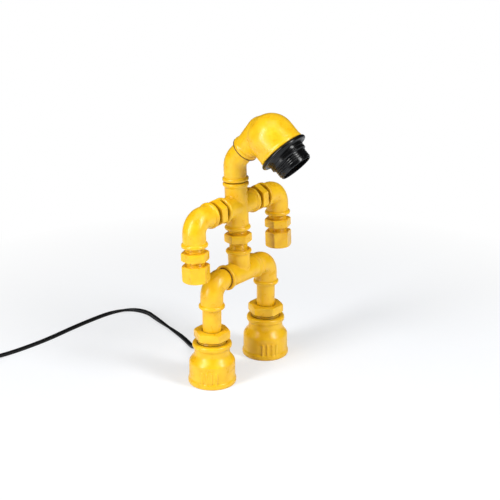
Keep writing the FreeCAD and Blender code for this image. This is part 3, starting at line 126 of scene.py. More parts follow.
def turned(name, outline, solid=False, heading=Z_AXIS, sides=RING_SIDES):
    """A piece turned on a lathe from (radius, height) pairs: a tube whose outline closes on
    itself, or a solid bar with flat ends."""
    wall = Wall(name, outline[0][0], Vector(heading) * outline[0][1], heading, sides)
    for (radius, height), (_, before) in zip(outline[1:], outline):
        wall.go(radius, height - before)
    if not solid:
        wall.go(outline[0][0], outline[0][1] - outline[-1][1])
    return wall.finish(capped=solid)


def band(body, crest, low, high, upwards=True):
    """Outline of a cast band, from the body side to the face of the mouth."""
    pairs = [(body + (crest - body) * rise, share) for share, rise in CAST_BAND]
    if upwards:
        return [(radius, low + (high - low) * share) for radius, share in pairs]
    return [(radius, high - (high - low) * share) for radius, share in reversed(pairs)]


def joined(name, *pieces):
    only(*pieces)
    bpy.ops.object.join()
    piece = bpy.context.object
    piece.name = name
    piece.data.name = name
    return piece


def modified(piece, kind, **settings):
    """Add a modifier and apply it."""
    only(piece)
    modifier = piece.modifiers.new("shape", kind)
    for key, value in settings.items():
        setattr(modifier, key, value)
    bpy.ops.object.modifier_apply(modifier=modifier.name)
    return piece


def cast(piece, grain, passes):
    """Run solids together into one casting with soft inner corners."""
    modified(piece, "REMESH", mode="VOXEL", voxel_size=grain, use_smooth_shade=True)
    return modified(piece, "SMOOTH", factor=0.5, iterations=passes)


def cut(piece, tool):
    """Take a tool's volume out of a piece."""
    modified(piece, "BOOLEAN", operation="DIFFERENCE", object=tool, solver="EXACT")
    bpy.data.objects.remove(tool)
    return piece


def frame_at(origin, up, front):
    """Where a fitting stands: its own +Z along up, its own +X towards front."""
    up = Vector(up).normalized()
    side = up.cross(Vector(front)).normalized()
    across = side.cross(up)
    place = Matrix((across, side, up)).transposed().to_4x4()
    place.translation = origin
    return place


def install(piece, place, body, material, nodes=()):
    """Set a piece in its place, give it its finish and tie it to its body."""
    piece.matrix_world = place
    settle(piece)
    only(piece)
    bpy.ops.object.shade_smooth_by_angle(angle=SMOOTH_UNDER, keep_sharp_edges=False)
    piece.data.materials.clear()
    piece.data.materials.append(material)
    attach(piece, body)
    if nodes:
        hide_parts(*nodes)
    return piece


def linear(code):
    """An sRGB hex colour as a shader takes it."""
    parts = [int(code[place:place + 2], 16) / 255 for place in (0, 2, 4)]
    return tuple(part / 12.92 if part <= 0.04045 else ((part + 0.055) / 1.055) ** 2.4
                 for part in parts) + (1.0,)


def add(owner, kind, links=(), inputs=(), **settings):
    """Add one node with its settings, its input values and its links from other nodes."""
    node = owner.node_tree.nodes.new(kind)
    for key, value in settings.items():
        setattr(node, key, value)
    for socket, value in dict(inputs).items():
        node.inputs[socket].default_value = value
    for socket, source in dict(links).items():
        owner.node_tree.links.new(source, node.inputs[socket])
    return node


def new_material(name):
    material = bpy.data.materials.new(name)
    material.use_nodes = True
    material.node_tree.nodes.clear()
    return material


def shade(material, links, inputs):
    """The surface shader and the output of a material."""
    surface = add(material, "ShaderNodeBsdfPrincipled", links, inputs)
    add(material, "ShaderNodeOutputMaterial", {"Surface": surface.outputs["BSDF"]})


def ramp(material, source, stops):
    """A colour ramp from (place, hex colour) stops."""
    node = add(material, "ShaderNodeValToRGB", {"Fac": source})
    colours = node.color_ramp.elements
    while len(colours) < len(stops):
        colours.new(0.5)
    for element, (place, code) in zip(colours, stops):
        element.position = place
        element.color = linear(code)
    return node


# Alkyd enamel sprayed over cast iron after the lamp was put together. The film is semi-gloss, a
# little uneven over the sand grain and thin in the crevices, which are painted darker and browner as
# painted shade together with grime.
PAINT = "F0BB18"
PAINT_DEEP = "E9AF12"
PAINT_LIGHT = "F3C424"
# Brown that the crevices are painted towards: painted shade together with grime.
CREVICE = "4E2A08"
RUBBED = "E9C987"
SAND_GRAIN = 0.0011
FILM_WAVES = 0.012


def enamel(name, grain_height, shade_and_grime, spread, worn_and_shaded=False):
    """Yellow enamel. Its crevices are painted dark brown from an occlusion mask, as painted shade
    together with grime; the shade and grime argument sets how dark, and spread how open they
    may be. On an old casting the sharp outer edges are rubbed pale, and the inner corners are
    painted dark as painted shade."""
    material = new_material(name)
    place = add(material, "ShaderNodeTexCoord").outputs["Object"]
    waves = add(material, "ShaderNodeTexNoise", {"Vector": place},
                {"Scale": 1 / FILM_WAVES, "Detail": 3.0, "Roughness": 0.55})
    tone = ramp(material, waves.outputs["Fac"],
                [(0.30, PAINT_DEEP), (0.50, PAINT), (0.72, PAINT_LIGHT)])
    # An occlusion mask that paints the crevices darker: painted shade together with grime.
    crevice = add(material, "ShaderNodeAmbientOcclusion", inputs={"Distance": 0.005},
                  samples=8, only_local=False)
    depth = add(material, "ShaderNodeMapRange", {"Value": crevice.outputs["AO"]},
                {"From Min": 0.10, "From Max": spread, "To Min": shade_and_grime, "To Max": 0.0})
    dark = depth.outputs["Result"]
    top = tone.outputs["Color"]
    if worn_and_shaded:
        bend = add(material, "ShaderNodeNewGeometry").outputs["Pointiness"]
        # Concave corners are painted darker from pointiness: painted shade. Convex edges are rubbed
        # pale.
        corner = add(material, "ShaderNodeMapRange", {"Value": bend},
                     {"From Min": 0.40, "From Max": 0.49, "To Min": 0.8, "To Max": 0.0})
        edge = add(material, "ShaderNodeMapRange", {"Value": bend},
                   {"From Min": 0.53, "From Max": 0.62, "To Min": 0.0, "To Max": 0.55})
        dark = add(material, "ShaderNodeMath", {0: dark, 1: corner.outputs["Result"]},
                   operation="MAXIMUM").outputs[0]
        top = add(material, "ShaderNodeMix", {"Factor": edge.outputs["Result"], 6: top},
                  {7: linear(RUBBED)}, data_type="RGBA").outputs[2]
    colour = add(material, "ShaderNodeMix", {"Factor": dark, 6: top}, {7: linear(CREVICE)},
                 data_type="RGBA")
    sand = add(material, "ShaderNodeTexNoise", {"Vector": place},
               {"Scale": 1 / SAND_GRAIN, "Detail": 2.0, "Roughness": 0.6})
    film = add(material, "ShaderNodeBump", {"Height": sand.outputs["Fac"]},
               {"Strength": grain_height, "Distance": 0.0002})
    gloss = add(material, "ShaderNodeMapRange", {"Value": waves.outputs["Fac"]},
                {"From Min": 0.3, "From Max": 0.7, "To Min": 0.25, "To Max": 0.37})
    shade(material, {"Base Color": colour.outputs[2], "Roughness": gloss.outputs["Result"],
                     "Normal": film.outputs["Normal"]},
          {"IOR": 1.42, "Coat Weight": 0.12, "Coat Roughness": 0.15})
    return material


painted_casting = enamel("semi_gloss_enamel_on_casting", 0.35, 0.35, 0.62)
# Rubbed pale edges, and painted shade in the inner corners and crevices.
worn_and_shaded_casting = enamel("worn_enamel_with_painted_corner_shade_on_casting", 0.35, 0.35, 0.62, worn_and_shaded=True)
# Where these are screwed in, the crevices are painted dark brown, lightly on the clean threads and
# strongly on the sealed ones: painted shade together with brown sealing compound showing through the
# thin film.
clean_thread = enamel("semi_gloss_enamel_on_clean_thread", 0.35, 0.12, 0.62)
sealed_and_shaded_thread = enamel("semi_gloss_enamel_over_sealed_thread", 0.35, 1.0, 0.80)

FOOT_HEIGHT = 0.049
FOOT_BORE = 0.01995
FOOT_TOP_BORE = 0.01645
FOOT_LOW = 0.0261
FOOT_NECK = 0.0201
FOOT_BEAD = 0.0274
FOOT_TOP_BEAD = 0.0224
FOOT_BAND = 0.007
SHOULDER_LOW = 0.025
SHOULDER_HIGH = 0.0365
RIB_TURNS = {"left": (194, 206, 218, 230, 344, 356, 368, 380),
             "right": (211, 223, 235, 247, 361, 373, 385, 397)}
RIB_WIDTH = 0.0017
RIB_RISE = 0.0012
RIB_LOW = 0.0035
RIB_HIGH = 0.020
CASTING_GRAIN = 0.00065
SIDES = {"left": -1, "right": 1}


def grip_rib(azimuth):
    """One upright rib on the lower body of a foot."""
    bpy.ops.object.select_all(action="DESELECT")
    bpy.ops.mesh.primitive_cube_add(size=1)
    rib = bpy.context.object
    middle = Vector((FOOT_LOW, 0, (RIB_LOW + RIB_HIGH) / 2))
    turn = Matrix.Rotation(math.radians(azimuth), 4, Z_AXIS)
    size = Matrix.Diagonal((RIB_RISE * 2, RIB_WIDTH, RIB_HIGH - RIB_LOW, 1))
    rib.matrix_world = turn @ Matrix.Translation(middle) @ size
    settle(rib)
    return rib


def shoulder_radius(share):
    return FOOT_LOW + (FOOT_NECK - FOOT_LOW) * (1 - math.cos(math.pi * share)) / 2


shoulder = [(shoulder_radius(step / 9), SHOULDER_LOW + (SHOULDER_HIGH - SHOULDER_LOW) * step / 9)
            for step in range(10)]
for side in SIDES:
    bell = turned("bell", [(FOOT_BORE, 0)]
                  + band(FOOT_LOW, FOOT_BEAD, 0, FOOT_BAND, upwards=False) + shoulder
                  + band(FOOT_NECK, FOOT_TOP_BEAD, FOOT_HEIGHT - FOOT_BAND, FOOT_HEIGHT)
                  + [(FOOT_TOP_BORE + 0.0008, FOOT_HEIGHT), (FOOT_TOP_BORE, FOOT_HEIGHT - 0.0008),
                     (FOOT_TOP_BORE, 0.0325), (FOOT_TOP_BORE + 0.0006, 0.0305),
                     (FOOT_BORE, 0.019)])
    ribs = [grip_rib(azimuth) for azimuth in RIB_TURNS[side]]
    casting = cast(joined(f"{side}_foot_casting", bell, *ribs), CASTING_GRAIN, 5)
    low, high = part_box(f"{side}_leg_pipe")
    leg_axis = Vector(((low.x + high.x) / 2, (low.y + high.y) / 2, 0))
    install(casting, frame_at(leg_axis, Z_AXIS, X_AXIS), "legs", worn_and_shaded_casting,
            [f"{side}_foot_bell"])

# Bushings. A hexagon bushing, 1 inch outside by 1/2 inch inside, closes the top of each
# foot. Its thread shows below the hexagon, where the paint has run into the grooves.

INCH_PITCH = 0.002309
HALF_INCH_PITCH = 0.001814
BUSHING_FLATS = 0.036
BUSHING_STAND = 0.0045
BUSHING_HEX = 0.0096
BUSHING_THREAD = 0.0164
BUSHING_ROOT = 0.0156
BUSHING_ENGAGED = 0.014
SOCKET = 0.01045


def thread_ridge(name, crest, low, high, pitch, depth):
    """One helical ridge, closed at both ends, that grows out of a core."""
    root = crest - depth
    bpy.ops.object.select_all(action="DESELECT")
    bpy.ops.mesh.primitive_circle_add(vertices=8, radius=pitch * 0.46,
                                      location=(root, 0, low + pitch / 2),
                                      rotation=(math.pi / 2, 0, 0))
    ridge = bpy.context.object
    ridge.name = name
    ridge.scale = (depth / (pitch * 0.46), 1, 1)
    settle(ridge)
    turns = (high - low - pitch) / pitch
    modified(ridge, "SCREW", axis="Z", angle=2 * math.pi * turns, screw_offset=pitch * turns,
             steps=round(48 * turns), render_steps=round(48 * turns), iterations=1)
    bpy.ops.object.mode_set(mode="EDIT")
    bpy.ops.mesh.select_all(action="SELECT")
    bpy.ops.mesh.remove_doubles(threshold=MERGE)
    bpy.ops.mesh.select_all(action="DESELECT")
    bpy.ops.mesh.select_non_manifold()
    bpy.ops.mesh.fill_holes(sides=0)
    bpy.ops.mesh.select_all(action="SELECT")
    bpy.ops.mesh.normals_make_consistent(inside=False)
    bpy.ops.object.mode_set(mode="OBJECT")
    return ridge


def hexagon(name, flats, low, high, barrel, bore):
    """A cast hexagon with its corners turned by a barrel outline, and a hole through it."""
    bpy.ops.object.select_all(action="DESELECT")
    bpy.ops.mesh.primitive_cylinder_add(vertices=6, radius=flats / math.sqrt(3), depth=high - low,
                                        location=(0, 0, (high + low) / 2),
                                        rotation=(0, 0, math.radians(30)))
    nut = bpy.context.object
    nut.name = name
    nut.data.name = name
    settle(nut)
    corners = turned("corners", barrel, solid=True, sides=96)
    modified(nut, "BOOLEAN", operation="INTERSECT", object=corners, solver="EXACT")
    bpy.data.objects.remove(corners)
    if bore:
        cut(nut, turned("bore", bore, solid=True))
    return modified(nut, "BEVEL", width=0.0004, segments=2, limit_method="ANGLE",
                    angle_limit=math.radians(28))


def both_turned(flats, low, high, corner):
    """Outline that turns the corners off a hexagon at both ends."""
    reach = flats / math.sqrt(3)
    drop = corner * 0.58
    return [(reach - corner, low), (reach, low + drop), (reach, high - drop),
            (reach - corner, high)]


bushing_top = BUSHING_STAND + BUSHING_HEX
for side in SIDES:
    core = turned("core", [(SOCKET, -BUSHING_ENGAGED), (BUSHING_ROOT, -BUSHING_ENGAGED),
                           (BUSHING_ROOT, BUSHING_STAND + 0.0005),
                           (SOCKET, BUSHING_STAND + 0.0005)])
    ridge = thread_ridge("ridge", BUSHING_THREAD, -0.006, BUSHING_STAND + 0.0006, INCH_PITCH,
                         0.0010)
    nut = hexagon("nut", BUSHING_FLATS, BUSHING_STAND, bushing_top,
                  both_turned(BUSHING_FLATS, BUSHING_STAND, bushing_top, 0.0018),
                  [(SOCKET, BUSHING_STAND - 0.001), (SOCKET, bushing_top - 0.0012),
                   (SOCKET + 0.0007, bushing_top - 0.0004), (SOCKET + 0.0013, bushing_top + 0.001)])
    bushing = joined(f"{side}_hexagon_bushing", nut, core, ridge)
    low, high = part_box(f"{side}_leg_pipe")
    seat = Vector(((low.x + high.x) / 2, (low.y + high.y) / 2, FOOT_HEIGHT))
    install(bushing, frame_at(seat, Z_AXIS, X_AXIS), "legs", sealed_and_shaded_thread,
            [f"{side}_foot_bushing"])

# Leg pipes. Welded half inch steel pipe, sawn to length and threaded at both ends. Drawn
# pipe is smoother than the castings, so the paint lies flatter on it.

PIPE = 0.01065
PIPE_BORE = 0.00805
THREAD = 0.0104
THREAD_DEPTH = 0.0009
painted_pipe = enamel("semi_gloss_enamel_on_drawn_pipe", 0.12, 0.35, 0.62)
for side in SIDES:
    low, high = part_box(f"{side}_leg_pipe")
    foot = Vector(((low.x + high.x) / 2, (low.y + high.y) / 2, low.z))
    length = high.z - low.z
    pipe = turned(f"{side}_leg_tube", [
        (PIPE_BORE, 0), (THREAD - 0.0008, 0), (THREAD, 0.0008), (THREAD, 0.0154), (PIPE, 0.0154),
        (PIPE, length - 0.0142), (THREAD - 0.0004, length - 0.0138),
        (THREAD - 0.0004, length - 0.0008), (THREAD - 0.0012, length), (PIPE_BORE, length)])
    install(pipe, frame_at(foot, Z_AXIS, X_AXIS), "legs", painted_pipe,
            [f"{side}_leg_pipe"])

# Sealing compound. A brown bead of it is left round some joints, under a thin film of paint.

COMPOUND = "4A2508"
COMPOUND_LIGHT = "7A4A12"
compound = new_material("thread_sealing_compound")
compound_place = add(compound, "ShaderNodeTexCoord").outputs["Object"]
smear = add(compound, "ShaderNodeTexNoise", {"Vector": compound_place},
            {"Scale": 420.0, "Detail": 3.0, "Roughness": 0.6})
brown = ramp(compound, smear.outputs["Fac"], [(0.35, COMPOUND), (0.65, COMPOUND_LIGHT)])
lumps = add(compound, "ShaderNodeBump", {"Height": smear.outputs["Fac"]},
            {"Strength": 0.5, "Distance": 0.0003})
shade(compound, {"Base Color": brown.outputs["Color"], "Normal": lumps.outputs["Normal"]},
      {"Roughness": 0.5, "IOR": 1.5})


def seal(name, radius, thickness, seat, heading, body):
    """A bead of compound round a joint, flattened against the fittings."""
    bpy.ops.object.select_all(action="DESELECT")
    bpy.ops.mesh.primitive_torus_add(major_radius=radius, minor_radius=thickness,
                                     major_segments=96, minor_segments=10)
    bead = bpy.context.object
    bead.name = name
    bead.data.name = name
    across = Y_AXIS if abs(Vector(heading).y) < 0.9 else X_AXIS
    install(bead, frame_at(seat, heading, across), body, compound)


# Elbows at the hips, arms and neck. Malleable cast iron, banded round each female mouth.
# The hip and neck elbows are street elbows, with a male thread on their other end.

BODY = 0.0128
BEAD = 0.01475
BAND = 0.005
CAVITY = 0.0092
NIPPLE_BORE = 0.0075
ELBOW_REACH = 0.0284
BEND = 0.015
NECK = 0.0112
STREET_REACH = 0.0349
THREAD_RUN = 0.013
LIP = 0.0008
HALF_GRIP = 0.0125


def from_mouth(name, reach):
    """Start an elbow at its lower mouth and walk up to the body."""
    wall = Wall(name, SOCKET, (0, 0, LIP - reach), Z_AXIS)
    wall.go(SOCKET + LIP, -LIP)
    height = -reach
    for radius, level in band(BODY, BEAD, -reach, BAND - reach, upwards=False):
        wall.go(radius, level - height)
        height = level
    return wall


def male_end(wall, reach, turn_start):
    """Walk out over a male thread and come back inside to the start of the bend."""
    wall.go(THREAD, 0)
    wall.go(THREAD, THREAD_RUN - LIP)
    wall.go(THREAD - LIP, LIP)
    wall.go(NIPPLE_BORE, 0)
    wall.go(NIPPLE_BORE, turn_start - reach)


def back_to_mouth(wall, radius, reach, turn_start):
    """Come out of the bend inside the elbow and close the wall at the lower mouth."""
    if reach - HALF_GRIP > turn_start:
        wall.go(radius, turn_start + HALF_GRIP - reach)
    wall.go(SOCKET, 0)
    wall.go(SOCKET, LIP - HALF_GRIP if reach - HALF_GRIP > turn_start else LIP + turn_start - reach)
    return wall.finish()


def street_elbow(name):
    wall = from_mouth(name, ELBOW_REACH)
    wall.go(BODY, ELBOW_REACH - BAND - BEND)
    centre = Vector((BEND, 0, -BEND))
    wall.turn(90, centre, Y_AXIS)
    wall.go(BODY, 0.0015)
    wall.go(NECK, (BODY - NECK) * 2)
    wall.go(NECK, STREET_REACH - THREAD_RUN - BEND - 0.0015 - (BODY - NECK) * 2)
    male_end(wall, STREET_REACH, BEND)
    wall.turn(-90, centre, Y_AXIS)
    return back_to_mouth(wall, NIPPLE_BORE, ELBOW_REACH, BEND)


def arm_elbow(name):
    wall = from_mouth(name, ELBOW_REACH)
    wall.go(BODY, ELBOW_REACH - BAND - BEND)
    centre = Vector((BEND, 0, -BEND))
    wall.turn(90, centre, Y_AXIS)
    place = BEND
    for radius, level in band(BODY, BEAD, ELBOW_REACH - BAND, ELBOW_REACH):
        wall.go(radius, level - place)
        place = level
    wall.go(SOCKET + LIP, 0)
    wall.go(SOCKET, -LIP)
    wall.go(SOCKET, LIP - HALF_GRIP)
    wall.go(CAVITY, 0)
    wall.go(CAVITY, BEND - ELBOW_REACH + HALF_GRIP)
    wall.turn(-90, centre, Y_AXIS)
    return back_to_mouth(wall, CAVITY, ELBOW_REACH, BEND)


def joint_line(name):
    joint = joints[name]
    return Vector(joint["pos_m"]), Vector(joint["axis"]).normalized()


_, torso_up = joint_line("waist_turn")
shoulder_at, _ = joint_line("left_arm_swing")
cross_centre = Vector((0, shoulder_at.y, shoulder_at.z))
arm_reach = abs(shoulder_at.x)
TEE_REACH = 0.0275
CROSS_REACH = 0.0274
HIPS_TO_CROSS = 0.0783
hips_centre = cross_centre - torso_up * HIPS_TO_CROSS
for side, way in SIDES.items():
    low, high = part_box(f"{side}_leg_pipe")
    inwards = X_AXIS * -way
    hip = Vector(((low.x + high.x) / 2, (low.y + high.y) / 2, hips_centre.z))
    install(street_elbow(f"{side}_hip_casting"), frame_at(hip, Z_AXIS, inwards), "legs",
            painted_casting, [f"{side}_hip_elbow"])
    shoulder_joint = Vector((way * arm_reach, shoulder_at.y, shoulder_at.z))
    install(arm_elbow(f"{side}_arm_casting"), frame_at(shoulder_joint, torso_up, inwards),
            f"{side}_arm", painted_casting, [f"{side}_arm_elbow"])

# Neck. The street elbow of 45 degrees is screwed over a close nipple on the cross, and its
# own thread goes up into the head.

NECK_REACH = 0.0231
NECK_BEND = 46.5
NECK_BEND_RADIUS = 0.019
NECK_MALE_REACH = 0.032
NECK_TO_HEAD = 0.0201
head_turn_at, head_up = joint_line("head_turn")
neck_bend_at = head_turn_at - head_up * NECK_TO_HEAD
neck_wall = from_mouth("neck_casting", NECK_REACH)
tangent = NECK_BEND_RADIUS * math.tan(math.radians(NECK_BEND / 2))
neck_wall.go(BODY, NECK_REACH - BAND - tangent)
neck_centre = Vector((NECK_BEND_RADIUS, 0, -tangent))
neck_wall.turn(NECK_BEND, neck_centre, Y_AXIS, steps=10)
neck_wall.go(BODY, NECK_MALE_REACH - THREAD_RUN - tangent)
male_end(neck_wall, NECK_MALE_REACH, tangent)
neck_wall.turn(-NECK_BEND, neck_centre, Y_AXIS, steps=10)
neck_casting = back_to_mouth(neck_wall, NIPPLE_BORE, NECK_REACH, tangent)
neck_front = head_up - torso_up * head_up.dot(torso_up)
install(neck_casting, frame_at(neck_bend_at, torso_up, neck_front), "neck", painted_casting,
        ["neck_elbow"])

# Hip tee and shoulder cross. One casting each, with a band round every mouth and soft
# inner corners where the branches meet.

BRANCH = 0.0125


def bored_ways(name, reach, ways):
    """The threaded sockets and the cored way of a tee or a cross, as one tool for each way."""
    tools = []
    for heading in ways:
        tools.append(turned(name, [(CAVITY * 0.98, -0.002), (CAVITY * 0.98, reach - 0.0156),
                                   (SOCKET, reach - 0.0150), (SOCKET, reach - LIP),
                                   (SOCKET + LIP * 2, reach + LIP)], solid=True, heading=heading))
    return tools


def branched(name, reach, run, branches):
    """A straight run through the centre and slimmer side branches, cast as one."""
    solids = []
    for heading in run:
        solids.append(turned("run", [(BODY, 0)] + band(BODY, BEAD, reach - BAND, reach),
                             solid=True, heading=heading))
    for heading in branches:
        solids.append(turned("branch", [(BRANCH, 0)] + band(BRANCH, BEAD, reach - BAND, reach),
                             solid=True, heading=heading))
    casting = cast(joined(name, *solids), CASTING_GRAIN, 6)
    for tool in bored_ways("way", reach, run + branches):
        cut(casting, tool)
    return casting


tee = branched("hip_tee_casting", TEE_REACH, [-X_AXIS, X_AXIS], [Z_AXIS])
install(tee, frame_at(hips_centre, torso_up, X_AXIS), "legs", worn_and_shaded_casting,
        ["hip_tee"])
cross = branched("shoulder_cross_casting", CROSS_REACH, [-Z_AXIS, Z_AXIS], [-X_AXIS, X_AXIS])
install(cross, frame_at(cross_centre, torso_up, X_AXIS), "torso", worn_and_shaded_casting,
        ["torso_cross"])
for side, way in SIDES.items():
    seal(f"{side}_hip_seal", NECK + 0.0003, 0.0007, hips_centre + X_AXIS * way * TEE_REACH, X_AXIS,
         "legs")

# Hexagon nipples at the waist, shoulders and wrists. Each is one casting with a thread cut
# on both ends, and some turns of the thread stay in sight beside the hexagon.

HEX_FLATS = 0.027
HEX_WIDTH = 0.0094
HEX_CORNER = 0.0013
NIPPLE_HALF = 0.0224


def hexagon_nipple(name):
    half = HEX_WIDTH / 2
    root = THREAD - THREAD_DEPTH
    tube = turned("tube", [(NIPPLE_BORE, -NIPPLE_HALF), (root, -NIPPLE_HALF), (root, NIPPLE_HALF),
                           (NIPPLE_BORE, NIPPLE_HALF)])
    nut = hexagon("nut", HEX_FLATS, -half, half, both_turned(HEX_FLATS, -half, half, HEX_CORNER),
                  [(NIPPLE_BORE + 0.0005, -half - 0.001), (NIPPLE_BORE + 0.0005, half + 0.001)])
    high = thread_ridge("high", THREAD, half - 0.0004, NIPPLE_HALF - 0.001, HALF_INCH_PITCH,
                        THREAD_DEPTH)
    low = thread_ridge("low", THREAD, 0.001 - NIPPLE_HALF, 0.0004 - half, HALF_INCH_PITCH,
                       THREAD_DEPTH)
    return joined(name, nut, tube, high, low)


WAIST_GAP = 0.0234
WAIST_OFFSET = 0.0019
waist_middle = hips_centre + torso_up * (TEE_REACH + WAIST_GAP / 2 + WAIST_OFFSET)
waist_front = Matrix.Rotation(math.radians(12), 3, torso_up) @ X_AXIS
install(hexagon_nipple("waist_hexagon_nipple"), frame_at(waist_middle, torso_up, waist_front),
        "legs", painted_casting, ["waist_nipple"])
SHOULDER_GAP = 0.0184
WRIST_GAP = 0.0204
for side, way in SIDES.items():
    outwards = X_AXIS * way
    middle = cross_centre + outwards * (CROSS_REACH + SHOULDER_GAP / 2)
    install(hexagon_nipple(f"{side}_shoulder_hexagon_nipple"), frame_at(middle, outwards, torso_up),
            "torso", sealed_and_shaded_thread, [f"{side}_shoulder_nipple"])
    wrist = Vector((way * arm_reach, shoulder_at.y, shoulder_at.z))
    wrist -= torso_up * (ELBOW_REACH + WRIST_GAP / 2)
    wrist_front = Matrix.Rotation(math.radians(20), 3, torso_up) @ X_AXIS
    install(hexagon_nipple(f"{side}_wrist_hexagon_nipple"), frame_at(wrist, torso_up, wrist_front),
            f"{side}_arm", clean_thread, [f"{side}_wrist_nipple"])

# Close nipple between cross and neck. All thread, and nearly all of it hidden.

neck_low, neck_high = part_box("neck_nipple")
close = joined("neck_close_nipple", turned("tube", [
    (NIPPLE_BORE, -0.0136), (THREAD - THREAD_DEPTH, -0.0136), (THREAD - THREAD_DEPTH, 0.0136),
    (NIPPLE_BORE, 0.0136)]),
    thread_ridge("ridge", THREAD, -0.0130, 0.0130, HALF_INCH_PITCH, THREAD_DEPTH))
install(close, frame_at((neck_low + neck_high) / 2, torso_up, X_AXIS), "torso", sealed_and_shaded_thread,
        ["neck_nipple"])

# Hands. Hexagon caps with a rounded closed end, screwed on the lower end of each arm.

CAP_HEIGHT = 0.019
CAP_DEPTH = 0.014
CAP_CORNER = 0.0016
for side, way in SIDES.items():
    reach = HEX_FLATS / math.sqrt(3)
    outline = [(reach - CAP_CORNER * 2.2, -CAP_HEIGHT),
               (reach - CAP_CORNER * 1.1, CAP_CORNER * 0.25 - CAP_HEIGHT),
               (reach - CAP_CORNER * 0.3, CAP_CORNER * 0.75 - CAP_HEIGHT),
               (reach, CAP_CORNER * 1.6 - CAP_HEIGHT), (reach, -HEX_CORNER * 0.58),
               (reach - HEX_CORNER, 0)]
    cap = hexagon(f"{side}_hand_hexagon_cap", HEX_FLATS, -CAP_HEIGHT, 0, outline,
                  [(SOCKET * 0.6, -CAP_DEPTH - 0.001), (SOCKET, -CAP_DEPTH), (SOCKET, -LIP),
                   (SOCKET + LIP * 1.6, LIP * 0.6)])
    palm = Vector((way * arm_reach, shoulder_at.y, shoulder_at.z))
    palm -= torso_up * (ELBOW_REACH + WRIST_GAP)
    palm_front = Matrix.Rotation(math.radians(20), 3, torso_up) @ X_AXIS
    install(cap, frame_at(palm, torso_up, palm_front), f"{side}_arm", clean_thread,
            [f"{side}_hand_cap"])

# Head. A reducing elbow, 1 1/4 inch by 1/2 inch: a round skull over the wide mouth, with a
# thin band round its edge, and a neck with a round end that runs out of the skull's back.
# Both rounds are one casting, so a wide fillet joins them.

HEAD = 0.026
HEAD_BEAD = 0.0267
HEAD_MOUTH = 0.0306
HEAD_BAND = 0.004
HEAD_FORWARD = 0.012
HEAD_SMALL = 0.0367
HEAD_SMALL_BODY = 0.0142
HEAD_SMALL_BEAD = 0.0158
NAPE = 0.017
NAPE_DROP = 0.005
HEAD_WALL = 0.0037
SLEEVE = 0.0199
MOUTH_BORE = 0.02
# Smoothing draws a round form in by about this much.
SMOOTHING_LOSS = 0.0003
mouth_axis = Vector(joints["shade_ring_travel"]["axis"]).normalized()
head_centre = head_turn_at + head_up * HEAD_SMALL


def dome(radius, centre, steps=16):
    """Outline of a round closed end, from near its pole to its side."""
    return [(radius * math.sin(turn), centre - radius * math.cos(turn))
            for turn in (math.radians(2 + 88 * step / steps) for step in range(steps + 1))]


skull = turned("skull", dome(HEAD + SMOOTHING_LOSS, HEAD_FORWARD)
               + [(HEAD + SMOOTHING_LOSS, HEAD_MOUTH - 0.001)], solid=True, heading=X_AXIS, sides=96)
nape_end = HEAD_SMALL - BAND
nape = turned("nape", dome(NAPE + SMOOTHING_LOSS, NAPE_DROP)
              + [(HEAD_SMALL_BODY + SMOOTHING_LOSS, nape_end - 0.001),
                 (HEAD_SMALL_BODY + SMOOTHING_LOSS, nape_end + 0.003)],
              solid=True, heading=-Z_AXIS)
core = cast(joined("core", skull, nape), 0.001, 30)
mouth_band = turned("mouth_band", [(HEAD, HEAD_FORWARD)]
                    + band(HEAD, HEAD_BEAD, HEAD_MOUTH - HEAD_BAND, HEAD_MOUTH),
                    solid=True, heading=X_AXIS, sides=96)
small_band = turned("small_band", [(HEAD_SMALL_BODY, nape_end - 0.004)]
                    + band(HEAD_SMALL_BODY, HEAD_SMALL_BEAD, nape_end, HEAD_SMALL),
                    solid=True, heading=-Z_AXIS)
head = cast(joined("head_casting", core, mouth_band, small_band), CASTING_GRAIN, 5)
cut(head, turned("hollow", dome(HEAD - HEAD_WALL, HEAD_FORWARD)
                 + [(MOUTH_BORE, HEAD_FORWARD), (MOUTH_BORE, HEAD_MOUTH + 0.001)],
                 solid=True, heading=X_AXIS, sides=96))
cut(head, turned("socket", [(CAVITY, 0.019), (CAVITY, HEAD_SMALL - 0.0156),
                            (SOCKET, HEAD_SMALL - 0.015), (SOCKET, HEAD_SMALL - LIP),
                            (SOCKET + LIP * 2, HEAD_SMALL + LIP)],
                 solid=True, heading=-Z_AXIS))
install(head, frame_at(head_centre, head_up, mouth_axis), "head", worn_and_shaded_casting,
        ["head_elbow"])
# A dark ring of compound along the lower edge of the small band: grime together with painted shade
# standing for the shadow under the band's overhang.
seal("head_seal_with_painted_shade", HEAD_SMALL_BEAD - 0.0006, 0.0006, head_turn_at, head_up, "head")

# Lampholder. The sleeve, the dome behind it and the contact block are pressed from black
# phenolic, which comes out of the mould glossy. The bulb's screw shell is stamped brass.

PHENOLIC = "070708"
PHENOLIC_LIGHT = "0D0D0E"
phenolic = new_material("moulded_black_phenolic")
phenolic_place = add(phenolic, "ShaderNodeTexCoord").outputs["Object"]
flow = add(phenolic, "ShaderNodeTexNoise", {"Vector": phenolic_place},
           {"Scale": 260.0, "Detail": 4.0, "Roughness": 0.6})
tint = ramp(phenolic, flow.outputs["Fac"], [(0.35, PHENOLIC), (0.7, PHENOLIC_LIGHT)])
dull = add(phenolic, "ShaderNodeMapRange", {"Value": flow.outputs["Fac"]},
           {"From Min": 0.3, "From Max": 0.7, "To Min": 0.16, "To Max": 0.26})
skin = add(phenolic, "ShaderNodeBump", {"Height": flow.outputs["Fac"]},
           {"Strength": 0.08, "Distance": 0.0001})
shade(phenolic, {"Base Color": tint.outputs["Color"], "Roughness": dull.outputs["Result"],
                 "Normal": skin.outputs["Normal"]}, {"IOR": 1.5, "Specular IOR Level": 0.35})
SLEEVE_END = 0.0552
SLEEVE_START = 0.0152
SLEEVE_PITCH = 0.0024
SLEEVE_DEPTH = 0.0009
